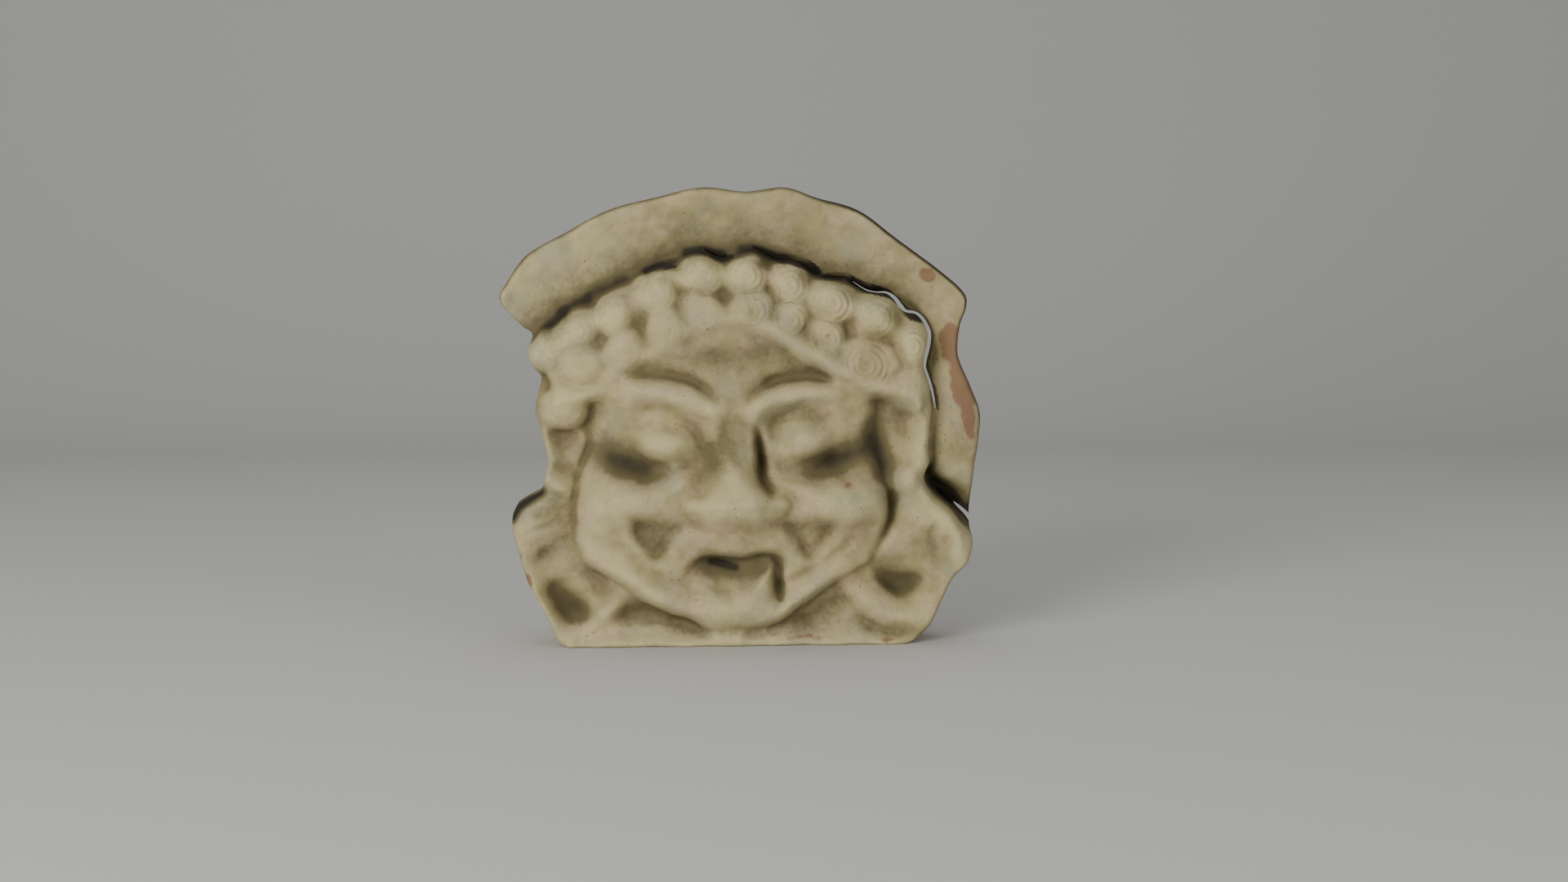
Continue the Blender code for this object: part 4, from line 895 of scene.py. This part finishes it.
def crackCutter(path, widths, back, source):
    # a band round the smooth path, carried back through the clay along the lines from the source
    sourceX, sourceY, sourceZ = source
    curve = smoothPath(path, 5)
    width = along(np.linspace(0, 1, len(curve)), widths, len(path))
    onward = np.gradient(curve, axis=0)
    across = np.stack([-onward[:, 1], onward[:, 0]], axis=1) / np.linalg.norm(onward, axis=1)[:, None]
    rows = []
    for side, depth in ((-0.5, cracks["front"]), (-0.5, back), (0.5, back), (0.5, cracks["front"])):
        edge = (curve + side * width[:, None] * across) * [scale["x"], scale["z"]]
        grown = (depth - sourceY) / (cracks["plane"] - sourceY)
        x, z = sourceX + (edge[:, 0] - sourceX) * grown, sourceZ + (edge[:, 1] - sourceZ) * grown
        rows.append(np.column_stack([x, np.full(len(curve), depth), z]))
    index = np.arange(4)[None, :] * len(curve) + np.arange(len(curve))[:, None]
    return newPiece("crack", np.vstack(rows), tubeFaces(index))


antefix = headAndPlate()
turnOutwards(antefix)
applyBoolean(antefix, tileRoot(), "UNION")
for kind in ("blind", "through"):
    for path, widths, back in cracks[kind]:
        applyBoolean(antefix, crackCutter(path, widths, back, cracks["from"][kind]), "DIFFERENCE")
print("clay body:", len(antefix.data.vertices), "points")


# Places where the slip has worn through to the orange clay: (across, up), half sizes, turn, strength
patches = [
    ((100, 137), (8, 13), 8, 1.0), ((104, 118), (7.5, 17), 12, 1.0), ((107, 104), (4.5, 12), 8, 1.0),
    ((88, 170), (5.5, 4), -20, 1.0), ((48.5, 75), (6, 4), 20, 0.5), ((30, 4), (14, 3), 0, 0.5),
    ((68, 2.5), (8, 2.5), 0, 0.45), ((51.7, 44), (4, 3), 30, 0.4), ((-96, 31), (3, 6), 20, 0.7),
    ((-99, 43), (3, 5), 0, 0.45), ((-12, 208), (14, 3), 0, 0.35),
]

# Places where the slip is paler, partly a paler thicker slip and partly painted light where light falls,
# and where it is darker, from stains and painted shade, in the same terms
pale = [
    ((-86, 163), (34, 20), 38, 0.9), ((-45, 5), (45, 8), 0, 1.8), ((30, 4), (50, 6), 0, 0.9),
    ((79, 119), (9, 7), 0, 0.8), ((98, 140), (14, 30), 0, 0.2), ((-62, 42), (9, 17), 35, 0.7),
    ((-55, 66), (16, 12), 0, 0.4), ((48, 66), (16, 9), 0, 0.4), ((-2, 16), (22, 6), 0, 0.4),
]
stainsAndShade = [
    ((-1.5, 104), (11, 16), 0, 0.45), ((-5, 88), (11, 15), 0, 0.95), ((-4, 134), (28, 7), 0, 0.6),
    ((-4, 127), (24, 9), 0, 0.4), ((-52, 84.5), (11, 6), -20, 0.7), ((46, 86), (11, 5), 20, 0.6),
    ((64, 92), (7, 17), 5, 0.45), ((-39, 52), (8, 8.5), 0, 1.0), ((-2, 52), (12, 4), 0, 0.2),
    ((31, 51.5), (8.5, 8), 0, 0.1), ((4, 36.5), (18, 5), 0, 0.4), ((-79.7, 94.5), (6, 6), 0, 0.5),
    ((-79.8, 82), (7, 5), 0, 0.4), ((75.5, 100), (4, 8), 10, 0.35), ((102, 90), (9, 16), 0, 0.6),
    ((-89, 58), (9, 9), 0, 0.75), ((-90, 56), (10, 8), 0, 0.2), ((-20.6, 171), (10, 8), 0, 0.6),
    ((5, 176.5), (9, 5.5), 0, 2.5), ((57, 153), (7, 6), 0, 0.6), ((0, 198), (40, 7), 0, 0.2),
    ((-8, 154), (76, 20), 0, 0.2), ((1, 160), (5, 4), 0, -0.4), ((61, 150), (9, 7), 0, 0.35),
    ((20, 166), (9, 6), 0, 0.2), ((38, 141), (8, 8), 0, 0.35), ((22, 150), (7, 6), 0, 0.25),
    ((-74, 147), (8, 6), 0, 0.2), ((-70, 27), (7, 6), 0, 0.2), ((-38, 106.5), (12, 4.5), 0, -0.8),
    ((-54, 30), (10, 5), -28, -1.2), ((-28, 104.5), (8, 4), 0, -0.3), ((57, 34), (9, 4), 35, -0.5),
    ((92, 102), (4, 34), 0, -0.9), ((-54, 4.8), (26, 5), 0, -0.5), ((50, 65.5), (14, 7), 0, -0.4),
    ((78, 119), (7, 5), 0, -0.4), ((74.6, 17), (10, 4), 0, 0.2),
]

# Painted shade in the deepest and shadowed places: path, half width, strength
paintedShade = [
    ([(92.5, 73), (96, 69.8), (100.5, 66), (105.5, 61.8), (109.5, 58.5)], 2.6, 1.5),
    ([(-13, 39.8), (-8, 38.6), (-2, 36.8)], 1.7, 0.9), ([(-18, 38), (-4, 35.5), (12, 36)], 6.5, 0.4),
    ([(15, 41), (18, 37), (18.8, 29), (18.6, 22)], 1.6, 0.7),
    ([(-83.9, 26.4), (-78.4, 20.6), (-71, 16)], 5, 0.6),
    ([(67.5, 28.2), (73.2, 25.4), (78.9, 27.6)], 4.6, 0.5),
    ([(-103.4, 59), (-101, 64), (-95.8, 67.4), (-90.4, 71)], 2.2, 1.5),
    ([(-61, 89), (-52, 85), (-44, 83)], 7, 0.85),
    ([(36, 85), (46, 86.5), (56, 89.5)], 6, 0.85),
    ([(60, 100), (64, 90), (66.4, 79)], 5.4, 0.85),
    ([(-46, 124.2), (-32, 123.4), (-19, 120.6)], 3, 0.25),
    ([(13, 120.6), (27, 124.6), (38, 125.4)], 3, 0.3),
    ([(-88, 145), (-84.5, 148.5), (-80, 152)], 3, 0.7),
    ([(-68, 161.5), (-60, 165), (-52, 168.6)], 2.6, 0.6), ([(-81, 153), (-75, 157), (-69, 159)], 2.2, 0.7),
    ([(-42, 172), (-36, 174.4), (-29.5, 174.6)], 2.2, 0.9),
    ([(-23, 180.6), (-15.5, 181.6), (-8, 179.4)], 2.6, 1.0),
    ([(2, 182.5), (12, 182), (22, 179)], 2.6, 0.7),
    ([(-84, 141.5), (-73, 151.5), (-57, 158.5), (-37, 168.5), (-16, 177), (4, 177), (23, 172), (42, 165),
      (62, 158), (80, 147)], 5, 0.3),
    ([(-23, 97), (-15, 91), (-12, 84)], 4, 0.2),
]


# How the marks spread. A pair is where something starts and where it is full
marks = {
    # metres in front of the back plane
    "front": (0.004, 0.008), "shadeFront": (0.0008, 0.0018), "behind": (0.002, 0.0),
    # metres behind the level of the carving: still carved surface, and inside a crevice
    "carved": (0.008, 0.004), "sunk": (0.00048, 0.00168),
    "cutEnd": (-0.0016, -0.0006),  # metres past the tile's cut end
    # painted shade along the tile's joint: strength, reach over the plate and over the tile
    "joint": (0.7, 0.004, 0.005),
    "patchEdge": 1.25,  # reach at which a worn patch ends
    "most": {"crest": 2, "paintedShade": 2.2},
    # less dirt and painted shade at the foot of the right wall: share taken off, by distance from its foot,
    # across and up
    "wallLessShaded": (0.85, (4.2, -1.8), (80, 88), (78, 88)),
    # painted shade along the foot of the wall: strength, where, width towards the head and the rim, up,
    # across
    "foot": (0.3, 1.5, 2.6, 6, (125, 137), (84, 76)),
    # painted shade on the rim of the hood: strength, more of it on the right, where that is, width, up
    "rimShade": (0.5, 0.7, (20, 40), 1.3, (150, 170)),
    # darker painted shade on the rim: strength and where it starts going up, strength on the right, across,
    # up, width
    "rimDarkShade": (0.6, (150, 165), 1.4, (30, 48), (90, 120), 1.1),
    "rimShown": (4, 2),  # millimetres in from the rim of the whole piece
    # painted shade on the lips and insides of the crevices
    "lip": (0.7, 0.1), "lipStrength": {"blind": 0.95, "through": 0.45},  # distance past a crevice's edge
    "crevice": (6, 3), "creviceReach": 7, "creviceShade": 2.2,
    "fullHollow": 1.25,  # the dirt and painted shade fill up slowly to this, so they end softly
    "curlEdge": (1, 0.75),  # share of a curl's radius
}


def softSpots(x, z, rows):  # sum of strength times e to the minus reach squared
    total = np.zeros(len(x))
    for *oval, strength in rows:
        total = total + strength * np.exp(-reach(x, z, *oval) ** 2)
    return total


def sunkIn(x, z, below):
    # 1 inside a crevice, which is near its path and below the carved level there, and less on its lips
    sunk = np.zeros(len(x))
    for kind in ("blind", "through"):
        for path, widths, _ in cracks[kind]:
            gap, share = pathGap(x, z, path, marks["creviceReach"])
            half = along(share, widths, len(path)) / 2
            lip = marks["lipStrength"][kind] * between(gap - half, *marks["lip"])
            inside = between(gap, *marks["crevice"]) * between(below, *marks["sunk"])
            sunk = np.maximum(sunk, np.maximum(lip, inside))
    return sunk


def dirtAndShadeOn(x, z, hollow, toRim, carved):
    # dirt and painted shade in the hollows of the carving, less of it on the right wall, painted shade
    # along the wall's foot, stains and painted shade from the spots, and painted shade on the rim
    fromFoot, _ = fromHeadEdge(x, z)
    # less dirt and painted shade near the foot of the right wall
    share, byFoot, across, up = marks["wallLessShaded"]
    hollow = hollow * (1 - share * between(fromFoot, *byFoot) * between(x, *across) * between(z, *up))
    # painted shade along the foot of the wall round the head
    strength, at, inner, outer, up, across = marks["foot"]
    footWidth = np.where(fromFoot > at, inner, outer)
    onFoot = np.exp(-((fromFoot - at) / footWidth) ** 2)
    hollow = hollow + strength * onFoot * between(z, *up) * between(x, *across)
    # stains and painted shade from the spots; negative ones take darkening away
    hollow = hollow + softSpots(x, z, stainsAndShade)
    # painted shade on the rim of the hood
    strength, more, right, width, up = marks["rimShade"]
    onRim = np.exp(-(toRim / width) ** 2) * between(z, *up) * carved
    hollow = hollow + (strength + more * between(x, *right)) * onRim
    full = marks["fullHollow"]
    return np.where(hollow > 0, full * (1 - np.exp(-hollow / full)), hollow)


def paintedShadeOn(x, z, toRim, below, carved):
    # painted shade: the listed shaded places and the dark rim of the hood on the carving, and the insides
    # of the crevices
    shadeAmount = sum(roll(x, z, *row) for row in paintedShade)
    # darker painted shade along the rim of the hood
    strength, up, onRight, right, rightUp, width = marks["rimDarkShade"]
    dark = strength * between(z, *up) + onRight * between(x, *right) * between(z, *rightUp)
    onCarving = shadeAmount + dark * np.exp(-(toRim / width) ** 2)
    return marks["creviceShade"] * sunkIn(x, z, below) + onCarving * carved


def jointShade(x, z, inFront):  # painted shade in the corner between plate and tile
    strength, overPlate, overTile = marks["joint"]
    radius = np.hypot(x, np.maximum(z - tile["centreHeight"], 0))
    gap = np.abs(radius - tile["outerRadius"] + tile["wall"] / 2) - tile["wall"] / 2
    fall = np.exp(-np.maximum(gap, 0) / overPlate) * np.exp(-np.maximum(-inFront, 0) / overTile)
    return strength * between(inFront, *marks["behind"]) * fall


def markClay(piece):
    # three numbers a point: hollow (dirt, with painted shade in hollows, crevices and the tile's joint),
    # crest (slip rubbed light, with painted light on proud parts) and bare (slip gone);
    # and spiral: across and up of the nearest curl's middle in metres, and how clearly its spiral shows
    mesh = piece.data
    points = np.empty(len(mesh.vertices) * 3)
    mesh.vertices.foreach_get("co", points)
    px, py, pz = points.reshape(-1, 3).T
    x, z = px / scale["x"], pz / scale["z"]
    inFront = plate["backPlane"] - py
    hollow = readRaster(raster, "hollow", x, z)
    below = readRaster(raster, "level", x, z) * scale["y"] - inFront
    toRim, _ = pathGap(x, z, outline + outline[:1], 9)
    carved = between(below, *marks["carved"])
    # nothing of the carving marks the dish behind it
    shown = np.maximum(carved, between(toRim, *marks["rimShown"])) * between(inFront, *marks["front"])

    # crest: slip rubbed light on proud parts, with painted light there and at the pale places
    crest = np.clip(-hollow, 0, marks["most"]["crest"]) + softSpots(x, z, pale)
    bare = np.zeros(len(px))
    for place, radii, turn, strength in patches:
        bare = np.maximum(bare, strength * (marks["patchEdge"] - reach(x, z, place, radii, turn)))
    dirtAndShade = np.maximum(dirtAndShadeOn(x, z, hollow, toRim, carved), 0) * shown
    shadeAmount = np.clip(paintedShadeOn(x, z, toRim, below, carved), 0, marks["most"]["paintedShade"])
    cutEnd = between(py - plate["backPlane"] - tile["length"], *marks["cutEnd"])
    values = {
        # dirt and painted shade, painted shade in the deep places, and painted shade along the tile's joint
        "hollow": dirtAndShade + shadeAmount * between(inFront, *marks["shadeFront"]) + jointShade(px, pz, inFront),
        "crest": np.clip(crest, 0, marks["most"]["crest"]) * shown,
        "bare": np.maximum(np.clip(bare, 0, 1) * shown, cutEnd),
    }
    for name, numbers in values.items():
        layer = mesh.attributes.new(name, "FLOAT", "POINT")
        layer.data.foreach_set("value", numbers.astype(np.float32))

    curls = np.array(hair["outerRow"] + hair["innerRow"])
    gaps = np.hypot(x[:, None] - curls[:, 0], z[:, None] - curls[:, 1]) / curls[:, 2]
    across, up, _, clearness = curls[gaps.argmin(axis=1)].T
    clearness = clearness * between(gaps.min(axis=1), *marks["curlEdge"]) * shown
    spiral = np.stack([across * scale["x"], up * scale["z"], clearness], axis=1)
    layer = mesh.attributes.new("spiral", "FLOAT_VECTOR", "POINT")
    layer.data.foreach_set("vector", spiral.astype(np.float32).ravel())


# marks dirt, wear, painted shade and painted light on the clay
markClay(antefix)
print("dirt and wear marked")


clay = {
    # dark and light, mottled
    "slip": ((0.264, 0.218, 0.102), (0.386, 0.325, 0.160)), "slipOver": (0.38, 0.62),
    # layers over the slip: colour, the value where each starts, where it is full, and its share there
    "layers": {
        # rubbed slip and painted light on proud parts
        "rubbedAndLit": ((0.520, 0.458, 0.242), 0.1, 1.3, 0.7),
        "pink": ((0.470, 0.345, 0.215), 0.48, 0.68, 0.60),
        "grey": ((0.290, 0.275, 0.180), 0.47, 0.66, 0.62),
        "grain": ((0.264, 0.218, 0.102), 0.35, 0.75, 0.24),
        # dirt and painted shade in the hollows
        "dirtAndShade": ((0.105, 0.084, 0.036), -0.05, 1.02, 0.92),
        # near black painted shade in crevices, notches and other deep places
        "paintedShade": ((0.022, 0.018, 0.010), 1.1, 2.2, 0.96),
        "bare": ((0.190, 0.098, 0.050), 0.35, 0.6, 0.85),
    },
    "speck": (0.070, 0.055, 0.030), "speckSize": (0.09, 0.16, 0.55, 0.0), "speckPatches": (0.5, 0.62),
    # how far noise breaks up the edge of a layer
    "uneven": {"rubbedAndLit": 0.2, "dirtAndShade": 0.5, "dirtAndShadeStreaks": 0.55, "ringDirtAndShade": 0.09, "paintedShade": 0.3, "bare": 0.9},
    # noises: scale per metre, detail, roughness
    "noises": {
        "broad": (22, 4.0, 0.55), "medium": (140, 4.0, 0.55), "fine": (900, 3.0, 0.6),
        "ringWear": (85, 4.0, 0.55),
        "pink": (70, 3.0, 0.55), "grey": (48, 5.0, 0.65), "streaks": (420, 2.0, 0.6),
        "speckPatches": (60, 4.0, 0.55), "skin": (260, 5.0, 0.6),
    },
    "mottle": {"broad": 0.6, "medium": 0.4},
    "cells": {"specks": 260, "pits": 180}, "pitSize": (0.05, 0.2, 1.0, 0.0),
    "spiralPitch": 0.0029, "ringWear": (0.36, 0.60, 0.25, 1.0),
    "bump": {"fine": 0.35, "skin": 0.65, "pits": -0.3, "rings": 0.5, "pink": 1.1},
    "bumpHeight": 0.00042, "bumpStrength": 0.8,
    "roughness": (0.80, 0.96), "roughnessOver": (0.3, 0.7), "specular": 0.3,
}


def clayMaterial():
    material = bpy.data.materials.new("fired_clay_slip")
    material.use_nodes = True
    tree = material.node_tree
    shader = tree.nodes["Principled BSDF"]
    place = tree.nodes.new("ShaderNodeTexCoord").outputs["Object"]

    def number(value):  # attribute stored on the points
        node = tree.nodes.new("ShaderNodeAttribute")
        node.attribute_name = value
        return node.outputs["Fac"]

    def noise(size, detail, rough):
        node = tree.nodes.new("ShaderNodeTexNoise")
        node.inputs["Scale"].default_value = size
        node.inputs["Detail"].default_value = detail
        node.inputs["Roughness"].default_value = rough
        tree.links.new(place, node.inputs["Vector"])
        return node.outputs["Fac"]

    def cells(size):  # distance to the nearest of scattered points
        node = tree.nodes.new("ShaderNodeTexVoronoi")
        node.inputs["Scale"].default_value = size
        tree.links.new(place, node.inputs["Vector"])
        return node.outputs["Distance"]

    def ranged(value, low, high, start=0.0, end=1.0):  # start up to low, end from high on, a soft S between
        node = tree.nodes.new("ShaderNodeMapRange")
        node.interpolation_type = "SMOOTHSTEP"
        for name, setting in (("From Min", low), ("From Max", high), ("To Min", start), ("To Max", end)):
            node.inputs[name].default_value = setting
        tree.links.new(value, node.inputs["Value"])
        return node.outputs["Result"]

    def maths(kind, first, second=0.0):
        node = tree.nodes.new("ShaderNodeMath")
        node.operation = kind
        for socket, value in zip(node.inputs, (first, second)):
            if isinstance(value, (int, float)):
                socket.default_value = value
            else:
                tree.links.new(value, socket)
        return node.outputs["Value"]

    def weighted(parts, shares):  # sum of the parts, each times its share
        total = 0.0
        for name, share in shares.items():
            total = maths("ADD", total, maths("MULTIPLY", parts[name], share))
        return total

    def shifted(value, amount, share):  # value plus share times the noise's swing about its middle
        return maths("ADD", value, maths("MULTIPLY", maths("SUBTRACT", amount, 0.5), share))

    def blend(share, first, second):
        node = tree.nodes.new("ShaderNodeMix")
        node.data_type = "RGBA"
        tree.links.new(share, node.inputs["Factor"])
        colours = [socket for socket in node.inputs if socket.type == "RGBA"]
        for socket, value in zip(colours, (first, second)):
            if isinstance(value, tuple):
                socket.default_value = (*value, 1.0)
            else:
                tree.links.new(value, socket)
        return [socket for socket in node.outputs if socket.type == "RGBA"][0]

    def spiralWave():
        # cosine of (two pi times the distance from the curl's middle over the pitch, plus the angle
        # round the middle), times how clearly the spiral shows
        centre = tree.nodes.new("ShaderNodeAttribute")
        centre.attribute_name = "spiral"
        parts = [tree.nodes.new("ShaderNodeSeparateXYZ") for _ in range(2)]
        tree.links.new(centre.outputs["Vector"], parts[0].inputs["Vector"])
        tree.links.new(place, parts[1].inputs["Vector"])
        aside = maths("SUBTRACT", parts[1].outputs["X"], parts[0].outputs["X"])
        above = maths("SUBTRACT", parts[1].outputs["Z"], parts[0].outputs["Y"])
        squares = maths("ADD", maths("MULTIPLY", aside, aside), maths("MULTIPLY", above, above))
        rings = maths("MULTIPLY", maths("SQRT", squares), 2 * math.pi / clay["spiralPitch"])
        turn = maths("ADD", rings, maths("ARCTAN2", above, aside))
        return maths("MULTIPLY", maths("COSINE", turn), parts[0].outputs["Z"])

    noises = {name: noise(*setting) for name, setting in clay["noises"].items()}
    hollow, crest, bare = (number(name) for name in ("hollow", "crest", "bare"))
    medium, uneven = noises["medium"], clay["uneven"]
    rings = maths("MULTIPLY", spiralWave(), ranged(noises["ringWear"], *clay["ringWear"]))
    colour = blend(ranged(weighted(noises, clay["mottle"]), *clay["slipOver"]), *clay["slip"])

    # darker where the carving is hollow: dirt and painted shade, broken up by noise and streaks
    dirtAndShade = shifted(shifted(hollow, medium, uneven["dirtAndShade"]), noises["streaks"], uneven["dirtAndShadeStreaks"])
    values = {
        "rubbedAndLit": maths("ADD", crest, maths("MULTIPLY", medium, uneven["rubbedAndLit"])),
        "pink": noises["pink"],
        "grey": noises["grey"],
        "grain": noises["fine"],
        # the spiral's rings darken its grooves: dirt and painted shade
        "dirtAndShade": maths("SUBTRACT", dirtAndShade, maths("MULTIPLY", rings, uneven["ringDirtAndShade"])),
        "paintedShade": maths("ADD", hollow, maths("MULTIPLY", medium, uneven["paintedShade"])),
        "bare": shifted(bare, medium, uneven["bare"]),
    }
    for name, (layer, low, high, share) in clay["layers"].items():
        colour = blend(ranged(values[name], low, high, 0.0, share), colour, layer)
    specks = ranged(cells(clay["cells"]["specks"]), *clay["speckSize"])
    specks = maths("MULTIPLY", specks, ranged(noises["speckPatches"], *clay["speckPatches"]))
    tree.links.new(blend(specks, colour, clay["speck"]), shader.inputs["Base Color"])
    roughness = ranged(medium, *clay["roughnessOver"], *clay["roughness"])
    tree.links.new(roughness, shader.inputs["Roughness"])
    shader.inputs["Specular IOR Level"].default_value = clay["specular"]

    pits = ranged(cells(clay["cells"]["pits"]), *clay["pitSize"])
    height = weighted({**noises, "pits": pits, "rings": rings}, clay["bump"])
    bump = tree.nodes.new("ShaderNodeBump")
    bump.inputs["Distance"].default_value = clay["bumpHeight"]
    bump.inputs["Strength"].default_value = clay["bumpStrength"]
    tree.links.new(height, bump.inputs["Height"])
    tree.links.new(bump.outputs["Normal"], shader.inputs["Normal"])
    return material


antefix.data.materials.clear()
antefix.data.materials.append(clayMaterial())
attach(antefix, "root")
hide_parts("antefix")
print("clay finish set")


# Plain pale stage, soft light and the camera
studio = {
    "floor": (0.62, 0.62, 0.60), "floorRoughness": 0.9,
    "floorHalf": 12.0, "wallTop": 4.0, "sweepStart": 1.2, "sweepRadius": 1.0, "sweepSteps": 24,
    # lights: name, place, size, power
    "lights": [("key", (-1.0, -1.6, 0.5), 1.0, 36), ("fill", (1.2, -1.5, 0.4), 1.6, 10.5),
               ("top", (0.0, 0.3, 1.6), 1.4, 5)],
    "sky": (0.84, 0.83, 0.80), "skyStrength": 0.30,
    "cameraTarget": (0.0208, -0.014, 0.0941), "azimuth": -4.0, "elevation": 4.0, "distance": 1.0,
    "lens": 50,
}


def stageFloor():  # flat, then a quarter circle up to a wall
    half, start, radius = studio["floorHalf"], studio["sweepStart"], studio["sweepRadius"]
    bend = np.linspace(0, math.pi / 2, studio["sweepSteps"] + 1)
    y = np.r_[-half, start + radius * np.sin(bend), start + radius]
    z = np.r_[0, radius - radius * np.cos(bend), studio["wallTop"]]
    points = np.concatenate([np.column_stack([np.full(len(y), side), y, z]) for side in (-half, half)])
    count = len(y)
    faces = [(i, count + i, count + i + 1, i + 1) for i in range(count - 1)]
    floor = newPiece("floor", points, faces)
    floor.data.shade_smooth()
    material = bpy.data.materials.new("floor_pale")
    material.use_nodes = True
    shader = material.node_tree.nodes["Principled BSDF"]
    shader.inputs["Base Color"].default_value = (*studio["floor"], 1.0)
    shader.inputs["Roughness"].default_value = studio["floorRoughness"]
    floor.data.materials.append(material)


def aimAt(thing, target):
    thing.rotation_euler = (Vector(target) - thing.location).to_track_quat("-Z", "Y").to_euler()


def lightsAndCamera():
    for name, place, size, power in studio["lights"]:
        light = bpy.data.lights.new(name, "AREA")
        light.shape = "DISK"
        light.size = size
        light.energy = power
        lamp = bpy.data.objects.new(name, light)
        lamp.location = place
        bpy.context.collection.objects.link(lamp)
        aimAt(lamp, studio["cameraTarget"])
    world = bpy.data.worlds.new("studio")
    world.use_nodes = True
    background = world.node_tree.nodes["Background"]
    background.inputs["Color"].default_value = (*studio["sky"], 1.0)
    background.inputs["Strength"].default_value = studio["skyStrength"]
    bpy.context.scene.world = world
    camera = bpy.data.objects.new("camera", bpy.data.cameras.new("camera"))
    camera.data.lens = studio["lens"]
    azimuth, elevation = math.radians(studio["azimuth"]), math.radians(studio["elevation"])
    level = math.cos(elevation)
    back = np.array([math.sin(azimuth) * level, -math.cos(azimuth) * level, math.sin(elevation)])
    camera.location = np.array(studio["cameraTarget"]) + studio["distance"] * back
    bpy.context.collection.objects.link(camera)
    aimAt(camera, studio["cameraTarget"])
    bpy.context.scene.camera = camera


stageFloor()
lightsAndCamera()
print("stage, lights and camera ready")
